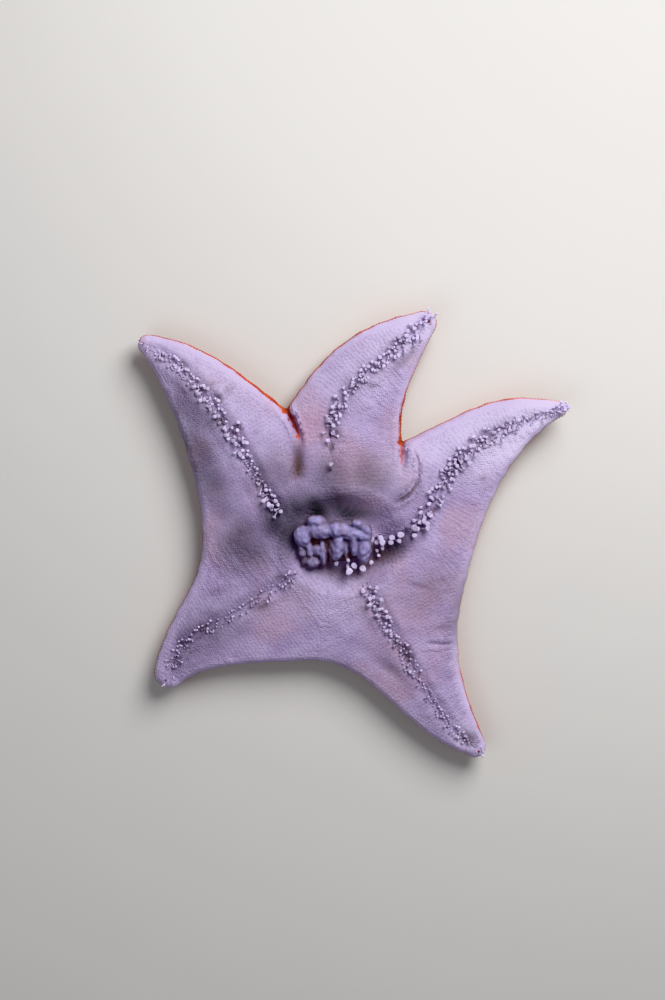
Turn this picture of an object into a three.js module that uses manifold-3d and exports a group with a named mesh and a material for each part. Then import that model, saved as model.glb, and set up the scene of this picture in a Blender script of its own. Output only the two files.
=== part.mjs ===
// A live bat star, the webbed five-armed sea star, on its back with its mouth side up and its stomach out.
// Millimetres. +Z points up, out of the mouth side. The arms are named as seen from above, with +Y away
// from the viewer's feet. Every outline is laid out round the mouth, and the whole star is centred at the end.
import * as THREE from "three";
import { mergeVertices } from "three/addons/utils/BufferGeometryUtils.js";
import Module from "manifold-3d";

const wasm = await Module();
wasm.setup();

// The arms, clockwise. Lengths in mm from the mouth, bearings in degrees anticlockwise from +X.
// reach and bearing place the centre of the round tip, tipBearing is the way the tip points, and tipLift is
// how far the tip curls up. furrow holds the bearing and the strength with which the tube-foot furrow leaves
// the mouth, the bearing and the strength with which it runs into the tip, and where its groove begins.
// Each margin leaves its gap at bearing, holds that with strength out, and runs into the tip with strength in,
// closing on the tip's own direction by taper degrees.
const arms = [
  {
    name: "upper_left",
    reach: 76.2, bearing: 133.5, tipBearing: 151.5, tipRadius: 3.3, tipLift: 3.5,
    furrow: { bearing: 170.6, out: 25.1, arriving: 153.9, in: 32.1, grooveFrom: 16 },
    left: { bearing: 91.1, out: 11.8, in: 12.8, taper: 22.4 },
    right: { bearing: 141.8, out: 13.8, in: 16.3, taper: 23.1 },
  },
  {
    name: "upper_middle",
    reach: 66.5, bearing: 68.8, tipBearing: 36.3, tipRadius: 3.9, tipLift: 3.5,
    furrow: { bearing: 89.7, out: 42.5, arriving: 40.8, in: 46.4, grooveFrom: 26 },
    left: { bearing: 57, out: 17.6, in: 19.8, taper: 26.1 },
    right: { bearing: 92.9, out: 12.5, in: 13.8, taper: 27.7 },
  },
  {
    name: "right",
    reach: 72.2, bearing: 32.2, tipBearing: 7.1, tipRadius: 2.8, tipLift: 3.5,
    furrow: { bearing: 4.3, out: 43.5, arriving: 15.7, in: 51.2, grooveFrom: 8 },
    left: { bearing: 25.7, out: 22.6, in: 18.4, taper: 17.1 },
    right: { bearing: 75.8, out: 13.6, in: 15.5, taper: 24.5 },
  },
  {
    name: "lower_right",
    reach: 71.8, bearing: -56.4, tipBearing: -43.3, tipRadius: 3.5, tipLift: 3,
    furrow: { bearing: -44.5, out: 16.9, arriving: -37.3, in: 21, grooveFrom: 12 },
    left: { bearing: -104.8, out: 24.1, in: 27.2, taper: 23.5 },
    right: { bearing: 6.8, out: 18.6, in: 22, taper: 26.2 },
  },
  {
    name: "lower_left",
    reach: 61.7, bearing: -140.6, tipBearing: -120.9, tipRadius: 5, tipLift: 2,
    furrow: { bearing: -141.9, out: 50.1, arriving: -104.4, in: 15.1, grooveFrom: 13 },
    left: { bearing: 186.8, out: 11.1, in: 11.5, taper: 18.5 },
    right: { bearing: 272.1, out: 18.2, in: 18.8, taper: 18.6 },
  },
];

// The gaps between the arms, clockwise, each after the arm of the same number. bend pushes the middle of the
// line from the mouth to the gap sideways, and fold is the depth of the pinched web there.
const gaps = [
  { reach: 40.5, bearing: 110.5, bend: [1.3, 0], fold: 2.6 },
  { reach: 34.5, bearing: 57.5, bend: [6.4, -0.5], fold: 2.4 },
  { reach: 39.3, bearing: -2.3, bend: [-1, -5], fold: 0 },
  { reach: 36.5, bearing: -104.6, bend: [0, 0], fold: 0 },
  { reach: 38.5, bearing: 174.9, bend: [0, -4], fold: 0 },
];

// The thickness. The margin is a round edge: rim above its widest line, keel below. crown is how far the mouth
// side rises from the rim to the furrow. dome is how far the back bulges below the keel, most where the body is
// broad, and discDome is the disc's own extra bulge.
const rim = 2.6;
const keel = 2.4;
const edgeRound = 3;
const crown = 1.3;
const dome = { depth: 7, halfAt: 8 };
const discDome = { depth: 3, radius: 22 };
const slim = { share: 0.55, fullAt: 10 };
const curl = { from: 0.33, power: 2.2 };
const flatDepth = 0.8;

const furrowGroove = { depth: 0.45, width: 1.4, over: 8 };
const furrowRidge = { height: 0.35, at: 3.2, width: 1.4 };
const foldShape = { width: 1.4, length: 14 };
const mouthHollow = { centre: [2.4, 1], half: [19, 16], depth: 5, floor: 0.45 };

const stomach = { centre: [2.1, -0.5], half: [12.6, 9.6, 4.6], sunk: 0.6, folds: 7, foldDepth: 0.09 };
const tubeFoot = { rows: 7, from: 0.27, to: 0.9, aside: 1.15, foot: 0.5, disc: 0.68, height: 3, sunk: 1.3 };
const madreporite = { reach: 12, bearing: 75, radius: 2.5, height: 1.3, inset: 0.35 };
const eyespot = { radius: 0.8, beyond: 0.4 };

const parting = 0.3;
const tipLength = 5.5;
const marginSteps = 11;
const tipSteps = 3;
const furrowSteps = 40;

const deg = Math.PI / 180;
const mouth = new THREE.Vector2(0, 0);
const colours = { skin: 0xd9c2c6, stomach: 0xb9a9c4, madreporite: 0xe2c49a, eyespot: 0x8e1f1a };

function polar(length, bearing) {
  return new THREE.Vector2(length * Math.cos(bearing * deg), length * Math.sin(bearing * deg));
}

function stepBetween(low, high, value) {
  return THREE.MathUtils.smoothstep(value, low, high);
}

function bell(value, width) {
  return Math.exp(-((value / width) ** 2));
}

// The curve from one point to another that leaves and arrives along the two given steps.
function leadCurve(start, startStep, end, endStep) {
  return new THREE.CubicBezierCurve(start, start.clone().add(startStep), end.clone().sub(endStep), end);
}

// Plan curves of one arm: its furrow, and its two margins as far as the tip's middle.
for (const arm of arms) {
  arm.tip = polar(arm.reach, arm.bearing);
  arm.furrowCurve = leadCurve(
    mouth,
    polar(arm.furrow.out, arm.furrow.bearing),
    arm.tip,
    polar(arm.furrow.in, arm.furrow.arriving),
  );
  arm.furrowPath = arm.furrowCurve.getPoints(furrowSteps);
}
for (const gap of gaps) gap.point = polar(gap.reach, gap.bearing);

// side is 1 for the margin on the arm's left, looking out from the mouth, and -1 for the one on its right.
function marginPoints(index, side) {
  const arm = arms[index];
  const margin = side > 0 ? arm.left : arm.right;
  const gap = gaps[side > 0 ? (index + arms.length - 1) % arms.length : index];
  const meets = arm.tipBearing + side * (90 - margin.taper);
  const end = arm.tip.clone().add(polar(arm.tipRadius, meets));
  const curve = leadCurve(
    gap.point,
    polar(margin.out, margin.bearing),
    end,
    polar(margin.in, arm.tipBearing - side * margin.taper),
  );
  const points = curve.getPoints(marginSteps);
  for (let step = 1; step <= tipSteps; step++) {
    const bearing = THREE.MathUtils.lerp(meets, arm.tipBearing, step / tipSteps);
    points.push(arm.tip.clone().add(polar(arm.tipRadius, bearing)));
  }
  return { points, gap };
}

const halves = arms.flatMap((arm, index) =>
  [1, -1].map((side) => ({ arm, side, ...marginPoints(index, side) })),
);

function distanceToPath(point, path) {
  let least = Infinity;
  const along = new THREE.Vector2();
  const from = new THREE.Vector2();
  for (let i = 1; i < path.length; i++) {
    along.subVectors(path[i], path[i - 1]);
    from.subVectors(point, path[i - 1]);
    const share = THREE.MathUtils.clamp(from.dot(along) / along.lengthSq(), 0, 1);
    least = Math.min(least, from.addScaledVector(along, -share).length());
  }
  return least;
}

// The least of several distances, with the corner between two of them rounded off.
function roundedLeast(distances) {
  const power = 8;
  const sum = distances.reduce((total, d) => total + Math.max(d, 1e-6) ** -power, 0);
  return sum ** (-1 / power);
}

// How far the curl of the arms has lifted the body over this point.
function liftAt(point) {
  let lift = 0;
  for (const arm of arms) {
    const outward = point.dot(arm.tip) / arm.reach ** 2;
    lift += arm.tipLift * Math.max(0, (outward - curl.from) / (1 - curl.from)) ** curl.power;
  }
  return lift;
}

// The pinch where the web between two arms is folded in, deepest at the gap and gone at its inner end.
function foldAt(point) {
  let depth = 0;
  for (const gap of gaps) {
    if (!gap.fold) continue;
    const seam = [1, 0.75, 0.5, 0.25].map((share) => seamPoint(gap, share));
    const fade = 1 - stepBetween(0.3, 1, point.distanceTo(gap.point) / foldShape.length);
    depth += gap.fold * fade * bell(distanceToPath(point, seam), foldShape.width);
  }
  return depth;
}

// A point of the line from the mouth to a gap.
function seamPoint(gap, share) {
  const sideways = 4 * share * (1 - share);
  return gap.point.clone().multiplyScalar(share).add(
    new THREE.Vector2(...gap.bend).multiplyScalar(sideways),
  );
}

function mouthHollowAt(point) {
  const out = Math.hypot(
    (point.x - mouthHollow.centre[0]) / mouthHollow.half[0],
    (point.y - mouthHollow.centre[1]) / mouthHollow.half[1],
  );
  return mouthHollow.depth * (1 - stepBetween(mouthHollow.floor, 1, out));
}

// Heights of the mouth side and of the back over one point of the plan.
function heightsAt(point) {
  const toMargin = Math.min(...halves.map((half) => distanceToPath(point, half.points)));
  const toFurrows = arms.map((arm) => distanceToPath(point, arm.furrowPath));
  const toFurrow = roundedLeast(toFurrows);
  const halfWidth = toMargin + toFurrow;
  const across = Math.min(1, toFurrow / halfWidth);
  const fromMouth = point.length();

  const edge = slim.share + (1 - slim.share) * Math.min(1, halfWidth / slim.fullAt);
  const bulge = (dome.depth * halfWidth) / (halfWidth + dome.halfAt)
    + discDome.depth * bell(fromMouth, discDome.radius);
  const inner = 1 - Math.min(1, toMargin / edgeRound);
  const round = Math.sqrt(Math.max(0, 1 - inner ** 2));
  const widest = liftAt(point) + keel * edge + bulge - flatDepth;

  const nearest = Math.min(...toFurrows);
  const { grooveFrom } = arms[toFurrows.indexOf(nearest)].furrow;
  const inFurrow = stepBetween(grooveFrom, grooveFrom + furrowGroove.over, fromMouth);
  const relief =
    furrowRidge.height * bell(nearest - furrowRidge.at, furrowRidge.width)
    - furrowGroove.depth * bell(nearest, furrowGroove.width);
  const oral = widest + rim * edge * round + crown * edge * (1 - across ** 2)
    + relief * inFurrow * round - (mouthHollowAt(point) + foldAt(point)) * round;
  const aboral = widest - keel * edge * round - bulge * (1 - across ** 2);
  return { oral, aboral: Math.max(0, aboral) };
}

// Shares of the way from the furrow to the margin at which the mouth side has a row of points.
function oralColumns(width) {
  const wall = Math.min(1.4 / width, 0.25);
  const ridge = Math.min(3 / width, 0.5);
  return [0, wall, ridge, ...[0.3, 0.6, 0.82, 0.94, 1].map((share) => ridge + (1 - ridge) * share)];
}

const aboralColumns = [0, 0.4, 0.72, 0.92, 1];

// A row of one half-arm runs from its furrow to its margin.
function rowPoint(half, row, share) {
  const onMargin = half.points[row];
  const out = Math.min(1, row / marginSteps);
  const onFurrow = half.arm.furrowCurve.getPoint(out * (1.5 - 0.5 * out));
  const sideways = 4 * share * (1 - share) * (1 - out) ** 2;
  return onFurrow.lerp(onMargin, share).add(
    new THREE.Vector2(...half.gap.bend).multiplyScalar(sideways),
  );
}

function addSheet(triangles, half, columnsOf, level, facing) {
  const rows = half.points.map((onMargin, row) => {
    const width = rowPoint(half, row, 0).distanceTo(onMargin);
    return columnsOf(width).map((share) => {
      const point = rowPoint(half, row, share);
      return new THREE.Vector3(point.x, point.y, heightsAt(point)[share < 1 ? level : "oral"]);
    });
  });
  for (let row = 1; row < rows.length; row++)
    for (let column = 1; column < rows[row].length; column++) {
      const [a, b] = [rows[row - 1][column - 1], rows[row][column - 1]];
      const [c, d] = [rows[row][column], rows[row - 1][column]];
      triangles.push(...(facing * half.side > 0 ? [a, b, c, a, c, d] : [a, c, b, a, d, c]));
    }
}

// The solid inside a closed geometry: shared corners merged, and the triangles that a merge flattened dropped.
function toSolid(geometry) {
  const bare = geometry.clone();
  bare.deleteAttribute("normal");
  bare.deleteAttribute("uv");
  const merged = mergeVertices(bare, 1e-3);
  const index = merged.index.array;
  const kept = [];
  for (let i = 0; i < index.length; i += 3) {
    const [a, b, c] = index.slice(i, i + 3);
    if (a !== b && b !== c && c !== a) kept.push(a, b, c);
  }
  return new wasm.Manifold(
    new wasm.Mesh({
      numProp: 3,
      vertProperties: merged.attributes.position.array,
      triVerts: new Uint32Array(kept),
    }),
  );
}

function toMesh(name, solid, colour) {
  const made = solid.getMesh();
  const geometry = new THREE.BufferGeometry();
  geometry.setAttribute("position", new THREE.BufferAttribute(made.vertProperties, 3));
  geometry.setIndex(new THREE.BufferAttribute(made.triVerts, 1));
  const faceted = geometry.toNonIndexed();
  faceted.computeVertexNormals();
  const mesh = new THREE.Mesh(
    faceted,
    new THREE.MeshStandardMaterial({ color: colour, roughness: 0.6, metalness: 0 }),
  );
  mesh.name = name;
  return mesh;
}

// A tall block over a plan outline.
function block(corners) {
  const geometry = new THREE.ExtrudeGeometry(new THREE.Shape(corners), { depth: 60, bevelEnabled: false });
  return toSolid(geometry.translate(0, 0, -20));
}

// The largest of the bodies that a cut leaves, without the slivers of a tube foot on the far side of it.
function mainBody(solid) {
  return solid.decompose().sort((a, b) => b.volume() - a.volume())[0];
}

// The block that holds one arm: outside the line between its two gaps. spare moves that line inwards.
function armBlock(index, spare) {
  const left = gaps[(index + arms.length - 1) % arms.length];
  const right = gaps[index];
  const outside = 1.5;
  const far = 140;
  const corners = [left, right].map((gap) => polar(gap.reach + outside, gap.bearing));
  const inward = corners[1].clone().sub(corners[0]).normalize();
  inward.set(-inward.y, inward.x);
  if (inward.dot(corners[0]) > 0) inward.negate();
  const [leftNear, rightNear] = corners.map((corner) => corner.addScaledVector(inward, spare));
  const rightFar = polar(right.reach + far, right.bearing);
  const leftFar = polar(left.reach + far, left.bearing);
  return block([leftNear, rightNear, rightFar, leftFar]);
}

// The block that holds an arm's last stretch.
function tipBlock(arm, spare) {
  const wide = polar(14, arm.tipBearing + 90);
  const near = arm.tip.clone().sub(polar(tipLength + spare, arm.tipBearing));
  const far = arm.tip.clone().add(polar(20, arm.tipBearing));
  return block([
    near.clone().add(wide),
    near.clone().sub(wide),
    far.clone().sub(wide),
    far.clone().add(wide),
  ]);
}

// One tube foot, a short stalk that widens to its sucker.
function tubeFootSolid(point) {
  const geometry = new THREE.CylinderGeometry(tubeFoot.disc, tubeFoot.foot, tubeFoot.height, 6);
  const bottom = heightsAt(point).oral - tubeFoot.sunk;
  geometry.rotateX(90 * deg).translate(point.x, point.y, bottom + tubeFoot.height / 2);
  return toSolid(geometry);
}

// The two rows of tube feet of one arm stand staggered on either side of its furrow.
function tubeFeetOf(arm) {
  const feet = [];
  for (let i = 0; i < 2 * tubeFoot.rows; i++) {
    const share = THREE.MathUtils.lerp(tubeFoot.from, tubeFoot.to, i / (2 * tubeFoot.rows - 1));
    const along = arm.furrowCurve.getTangent(share);
    const aside = new THREE.Vector2(-along.y, along.x).multiplyScalar(i % 2 ? tubeFoot.aside : -tubeFoot.aside);
    feet.push(tubeFootSolid(arm.furrowCurve.getPoint(share).add(aside)));
  }
  return feet;
}

// The stomach pushed out through the mouth: a low mound gathered into deep folds.
function stomachGeometry(grow) {
  const geometry = new THREE.SphereGeometry(1, 24, 9).rotateX(90 * deg);
  const position = geometry.attributes.position;
  const at = new THREE.Vector3();
  for (let i = 0; i < position.count; i++) {
    at.fromBufferAttribute(position, i);
    const round = Math.atan2(at.y, at.x);
    const flank = 1 - at.z ** 2;
    const fold = 1 + stomach.foldDepth * flank * Math.sin(stomach.folds * round + 2 * at.z);
    at.multiply(new THREE.Vector3(...stomach.half)).multiplyScalar(fold * grow);
    position.setXYZ(i, at.x, at.y, at.z);
  }
  return geometry;
}

function stomachPlace() {
  const point = new THREE.Vector2(...stomach.centre);
  const floor = heightsAt(point).oral;
  return new THREE.Vector3(point.x, point.y, floor + stomach.half[2] * (1 - stomach.sunk));
}

// The sieve plate of the back, a low button let into the disc.
function madreporiteGeometry(grow) {
  const { radius, height, inset } = madreporite;
  const profile = [
    [0, inset - grow * 3],
    [radius * 0.8 + grow, inset - grow * 3],
    [radius + grow, inset + height * 0.4],
    [radius + grow, inset + height + grow],
    [0, inset + height + grow],
  ];
  return new THREE.LatheGeometry(profile.map((p) => new THREE.Vector2(...p)), 16).rotateX(90 * deg);
}

function eyespotGeometry(grow) {
  return new THREE.OctahedronGeometry(eyespot.radius + grow, 1);
}

function eyespotPlace(arm) {
  const point = arm.tip.clone().add(polar(arm.tipRadius * eyespot.beyond, arm.tipBearing));
  return new THREE.Vector3(point.x, point.y, heightsAt(point).oral);
}

function placed(geometry, place) {
  return toSolid(geometry.translate(place.x, place.y, place.z));
}

// The whole body in one piece, before it is parted.
const bodyCorners = [];
for (const half of halves) {
  addSheet(bodyCorners, half, oralColumns, "oral", 1);
  addSheet(bodyCorners, half, () => aboralColumns, "aboral", -1);
}
let body = toSolid(new THREE.BufferGeometry().setFromPoints(bodyCorners));
for (const arm of arms) for (const foot of tubeFeetOf(arm)) body = body.add(foot);

const starfish = new THREE.Group();
starfish.name = "starfish";

let disc = body;
arms.forEach((arm, index) => {
  const whole = body.intersect(armBlock(index, 0));
  disc = disc.subtract(armBlock(index, parting));
  const eyePlace = eyespotPlace(arm);
  const tip = mainBody(whole.intersect(tipBlock(arm, 0)).subtract(placed(eyespotGeometry(parting), eyePlace)));
  starfish.add(toMesh(`arm_${arm.name}`, mainBody(whole.subtract(tipBlock(arm, parting))), colours.skin));
  starfish.add(toMesh(`tip_${arm.name}`, tip, colours.skin));
  starfish.add(toMesh(`eyespot_${arm.name}`, placed(eyespotGeometry(0), eyePlace), colours.eyespot));
});

const stomachAt = stomachPlace();
const sievePoint = polar(madreporite.reach, madreporite.bearing);
const sieveAt = new THREE.Vector3(sievePoint.x, sievePoint.y, 0);
disc = disc
  .subtract(placed(stomachGeometry(1.07), stomachAt))
  .subtract(placed(madreporiteGeometry(parting), sieveAt));
starfish.add(toMesh("disc", mainBody(disc), colours.skin));
starfish.add(toMesh("stomach", placed(stomachGeometry(1), stomachAt), colours.stomach));
starfish.add(toMesh("madreporite", placed(madreporiteGeometry(0), sieveAt), colours.madreporite));

// Centre the star over its own box, standing on z = 0.
const box = new THREE.Box3().setFromObject(starfish);
const centre = box.getCenter(new THREE.Vector3());
starfish.position.set(-centre.x, -centre.y, -box.min.z);

export default starfish;
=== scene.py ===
import bpy
import numpy as np
from mathutils import Matrix, Vector


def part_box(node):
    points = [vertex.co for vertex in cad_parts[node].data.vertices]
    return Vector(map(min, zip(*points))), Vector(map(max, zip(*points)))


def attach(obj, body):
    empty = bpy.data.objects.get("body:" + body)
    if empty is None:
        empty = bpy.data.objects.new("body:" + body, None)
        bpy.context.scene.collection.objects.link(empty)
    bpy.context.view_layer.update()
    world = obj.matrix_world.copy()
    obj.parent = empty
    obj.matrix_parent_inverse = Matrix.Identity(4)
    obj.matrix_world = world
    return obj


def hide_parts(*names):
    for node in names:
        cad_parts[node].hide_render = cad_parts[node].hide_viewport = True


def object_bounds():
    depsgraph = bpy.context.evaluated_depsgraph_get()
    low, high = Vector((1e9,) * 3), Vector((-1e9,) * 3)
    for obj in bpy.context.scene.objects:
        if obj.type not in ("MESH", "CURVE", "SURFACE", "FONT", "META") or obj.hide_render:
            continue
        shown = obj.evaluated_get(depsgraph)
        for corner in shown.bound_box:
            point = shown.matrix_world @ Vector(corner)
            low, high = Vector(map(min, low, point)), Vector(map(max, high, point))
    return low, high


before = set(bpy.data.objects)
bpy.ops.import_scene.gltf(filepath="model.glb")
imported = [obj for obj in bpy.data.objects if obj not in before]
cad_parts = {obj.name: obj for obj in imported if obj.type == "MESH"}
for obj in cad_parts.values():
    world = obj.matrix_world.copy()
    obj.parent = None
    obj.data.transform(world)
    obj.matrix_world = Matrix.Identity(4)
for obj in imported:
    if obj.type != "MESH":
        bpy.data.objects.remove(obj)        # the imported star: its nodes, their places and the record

cadBox = [list(corner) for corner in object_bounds()]
mm = 0.001
rng = np.random.default_rng(23)

# The plan of a bat star, in millimetres from the mouth, with bearings in degrees anticlockwise from +X.
# reach and bearing place the middle of the round tip, and lift is how far it curls up. furrow, left and
# right give the bearing and the strength with which a curve sets out and the strength with which it runs
# in, then furrow the bearing on which it arrives, and left and right the taper towards the tip. grooveFrom
# is where the furrow opens. redLeft and redRight say how high up the round edge the orange climbs, at the
# gap and the tip.
arms = [
    {"name": "upper_left", "reach": 76.2, "bearing": 133.5, "tipBearing": 151.5, "tipRadius": 3.3,
     "lift": 3.5, "grooveFrom": 16, "furrow": (170.6, 25.1, 32.1, 153.9),
     "left": (91.1, 11.8, 12.8, 22.4), "right": (141.8, 13.8, 16.3, 23.1),
     "redLeft": (-0.3, -0.2), "redRight": (0.6, 0.25)},
    {"name": "upper_middle", "reach": 66.5, "bearing": 68.8, "tipBearing": 36.3, "tipRadius": 3.9,
     "lift": 3.5, "grooveFrom": 26, "furrow": (89.7, 42.5, 46.4, 40.8),
     "left": (57, 17.6, 19.8, 26.1), "right": (92.9, 12.5, 13.8, 27.7),
     "redLeft": (0.3, 0.42), "redRight": (0.75, 0)},
    {"name": "right", "reach": 72.2, "bearing": 32.2, "tipBearing": 7.1, "tipRadius": 2.8,
     "lift": 3.5, "grooveFrom": 8, "furrow": (4.3, 43.5, 51.2, 15.7),
     "left": (25.7, 22.6, 18.4, 17.1), "right": (75.8, 13.6, 15.5, 24.5),
     "redLeft": (0.08, 0.36), "redRight": (-0.1, 0.25)},
    {"name": "lower_right", "reach": 71.8, "bearing": -56.4, "tipBearing": -43.3, "tipRadius": 3.5,
     "lift": 3, "grooveFrom": 12, "furrow": (-44.5, 16.9, 21, -37.3),
     "left": (-104.8, 24.1, 27.2, 23.5), "right": (6.8, 18.6, 22, 26.2),
     "redLeft": (-0.5, 0.4), "redRight": (-0.1, 0.1)},
    {"name": "lower_left", "reach": 61.7, "bearing": -140.6, "tipBearing": -120.9, "tipRadius": 5,
     "lift": 2, "grooveFrom": 13, "furrow": (-141.9, 50.1, 15.1, -104.4),
     "left": (186.8, 11.1, 11.5, 18.5), "right": (272.1, 18.2, 18.8, 18.6),
     "redLeft": (-0.45, -0.45), "redRight": (-0.4, -0.4)},
]
# The gaps between the arms, clockwise. bend bows the line from the mouth. In a pinched web, fold is its
# depth and slit its line from the gap inwards, foldLength how far it reaches, red and redness how far and
# how strongly the orange runs in along it, and lip, lipAt and lipWidth the roll that borders it on its
# right.
gaps = [
    {"reach": 40.5, "bearing": 110.5, "bend": 1.3, "fold": 2.6, "foldLength": 12.5,
     "slit": (-11 + 33.5j, -8.2 + 27.5j, -10.6 + 20j), "red": 9.6, "redness": 0.95,
     "lip": 0.55, "lipAt": 1.7, "lipWidth": 0.8},
    {"reach": 34.5, "bearing": 57.5, "bend": 4.5 - 0.3j, "fold": 2.4, "foldLength": 9.5,
     "slit": (18.6 + 26.5j, 18.4 + 24j, 18 + 19j), "red": 6.9, "redness": 0.8,
     "lip": 0.6, "lipAt": 2.4, "lipWidth": 1.5},
    {"reach": 39.3, "bearing": -2.3, "bend": -1 - 5j, "fold": 0},
    {"reach": 36.5, "bearing": -104.6, "bend": 0, "fold": 0},
    {"reach": 38.5, "bearing": 174.9, "bend": -4j, "fold": 0},
]
# Creases of the mouth side: path, depth and width, and the height of the lips beside them.
creases = [
    {"path": (21.8 + 27.4j, 23.6 + 22j, 22.5 + 16.4j), "depth": 0.5, "width": 0.36, "lip": 0.12},
    {"path": (22.9 + 19j, 22 + 14.2j, 16 + 11.8j), "depth": 0.85, "width": 0.65, "lip": 0.12},
    {"path": (25.4 - 28.6j, 29 - 29.2j, 34.4 - 28.6j), "depth": 0.3, "width": 0.6, "lip": 0.1},
]
# Painted shade: soft dimming of the mouth side, in the hollow round the mouth and on the flanks and webs
# turned from the light. Each spot gives place, half length, half width, turn in degrees and strength.
paintedShades = [
    (-7 + 10j, 9.5, 6.5, -15, 0.9), (-1 + 11.6j, 9, 5, 0, 0.78), (12 + 9.5j, 10, 5.5, -28, 0.1),
    (-13 + 3.5j, 4.8, 8.5, -8, 0.9), (-16 + 7.5j, 6, 8, -30, 0.85), (-18 + 19j, 7, 8, 10, 0.42),
    (9 + 19.5j, 8.5, 6.5, -10, 0.55), (18 + 14j, 5, 4, 20, 0.35), (-1 + 18.5j, 8, 7.5, 0, 0.62),
    (2 - 9.2j, 13, 3.4, 0, 0.3), (15 - 1.6j, 8, 3.2, 30, 0.7), (2.6 + 8.6j, 8, 3, -8, 0.92),
    (-37 + 22j, 20, 5.5, 114, 0.62), (-26 - 0.5j, 9, 8.5, 85, 0.64), (-40 + 36j, 12, 6.5, 122, 0.5),
    (-37 - 27j, 12, 8, 45, 0.36), (28 - 12j, 8, 6.5, 50, 0.25), (35 - 20j, 12, 3.4, 80, 0.4),
]
# Where the orange of the back shines through the thin web: place, size and strength.
blushes = [(-6.4 + 35j, 4.2, 0.2), (-9 + 30j, 2.5, 0.12), (17.5 + 29j, 2.2, 0.12), (5 + 25.5j, 6, 0.04)]
# Small pits of the mouth side, darkened partly with painted shade in the hollow and partly with brown
# stain: place, half length, half width, turn, depth and darkness.
pits = [
    (-10.6 + 23.8j, 5.2, 1.8, 92, 1.0, 0.85), (-11.2 + 20.4j, 2.4, 2.2, 90, 0.4, 0.35),
    (15.8 - 3.2j, 4.5, 1.8, 32, 0.3, 0.35), (-33 + 40.8j, 1.2, 1.0, 0, 0.7, 0.8),
    (-30.2 + 42.7j, 1.8, 0.9, 50, 0.3, 0.35), (-34 + 45.2j, 1.6, 1.1, 0, 0.1, 0.3),
    (-32.3 + 34.3j, 1.4, 1.1, 0, 0.8, 0.9), (-27.3 + 32.5j, 1.0, 1.0, 0, 0.6, 0.7),
    (-28.8 + 31.2j, 1.3, 0.7, 20, 0.6, 0.6), (-42.6 + 50.2j, 1.0, 0.9, 0, 0.4, 0.5),
    (-39.1 + 43.8j, 1.8, 0.7, -20, 0.5, 0.6), (-21.3 + 16.6j, 1.4, 0.7, 0, 0.5, 0.8),
    (-19.3 + 13.8j, 1.2, 0.6, 0, 0.4, 0.6), (-1.1 + 31.4j, 1.4, 1.0, 0, 0.6, 0.7),
    (-1.5 + 27.5j, 0.8, 1.4, 0, 0.5, 0.8), (-4 + 30j, 1.0, 0.9, 0, 0.4, 0.5),
    (0.8 + 37j, 1.0, 0.8, 0, 0.4, 0.6), (9.9 + 44.6j, 1.8, 1.0, 0, 0.3, 0.35),
    (19.3 + 52j, 5.0, 1.3, 42, 0.5, 0.4), (40.4 + 28.9j, 3.6, 1.2, 36, 0.5, 0.45),
    (33.6 + 23.6j, 1.0, 0.9, 0, 0.5, 0.8), (31.6 + 20.2j, 1.5, 0.8, 40, 0.5, 0.7),
    (27.2 + 9.8j, 1.3, 0.8, 30, 0.5, 0.8), (40.8 + 18.8j, 1.0, 0.8, 0, 0.1, 0.3),
    (15 - 36.6j, 5.0, 1.7, -35, 0.7, 0.45), (19 - 32j, 5.0, 1.3, -55, 0.5, 0.3),
    (22.8 - 11.8j, 2.8, 0.8, -15, 0.3, 0.3), (30 - 10.4j, 1.4, 1.2, 0, 0.2, 0.25),
    (30 - 24.6j, 3.0, 1.2, 0, 0.3, 0.22), (20 - 30.3j, 0.9, 0.8, 0, 0.5, 0.6),
    (21.1 - 32.8j, 1.0, 0.8, 0, 0.5, 0.6), (38 - 57.4j, 2.3, 2.3, 0, 0.6, 0.6),
    (-15.4 - 9.8j, 1.4, 0.9, 0, 0.4, 0.5), (-21.6 - 19j, 3.0, 1.2, 20, 0.4, 0.35),
    (-38.6 - 25.3j, 1.0, 1.2, 0, 0.4, 0.5), (-44 - 30.6j, 1.9, 0.7, -50, 0.4, 0.5),
    (-46.2 - 36.2j, 0.9, 1.9, -20, 0.4, 0.4), (-34 - 14.6j, 3.4, 1.2, 30, 0.3, 0.2),
    (-28.3 - 28j, 5.0, 1.8, 35, 0.5, 0.2),
]
# The body's section: a round edge between rim and keel, a crown on the mouth side and a dome on the back, a
# furrow between two ridges along each arm, and the hollow round the mouth.
body = {
    "rim": 2.6, "keel": 2.4, "edgeRound": 3.0, "crown": 1.3,
    "domeDepth": 7.0, "domeHalfAt": 8.0, "discDepth": 3.0, "discRadius": 22.0,
    "slimShare": 0.55, "slimFullAt": 10.0, "curlFrom": 0.33, "curlPower": 2.2, "flatDepth": 0.8,
    "furrowDepth": 0.35, "furrowWidth": 1.5, "furrowOver": 8.0, "furrowTip": 6.0, "furrowBlend": 8.0,
    "ridgeHeight": 0.35, "ridgeAt": 3.2, "ridgeWidth": 1.4,
    "foldWidth": 0.85,
    "hollowCentre": 2.4 + 1j, "hollowHalf": (19.0, 16.0), "hollowDepth": 5.0, "hollowFloor": 0.45,
    "coat": 0.45, "swell": 0.18, "wrinkle": 0.035, "ragged": 0.3, "smoothEdge": 3.0,
}
# The pinched webs: the low roll on their left, the slit of orange and the painted shade of the fold that
# follows it.
web = {
    "fadeFrom": 0.3, "leftRoll": 0.2, "leftRollAt": 2, "leftRollWidth": 0.9,
    "slitHalf": 0.62, "slitTaper": 0.6, "slitShift": 0.45, "darkness": 0.8, "darkWidth": 0.7,
}
# How strongly painted shade gathers along the furrows, in the creases and under the stomach, as grey
# dimming and as warm brown.
gather = {
    "reach": 1.5, "width": 2.4, "fromMargin": (1.5, 5), "shade": 0.16, "brownShade": 0.1, "crease": 0.75,
    "crevice": 0.6, "creviceAt": 0.56, "creviceWidth": 0.13, "creviceEnds": (-3, 2),
}
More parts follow.
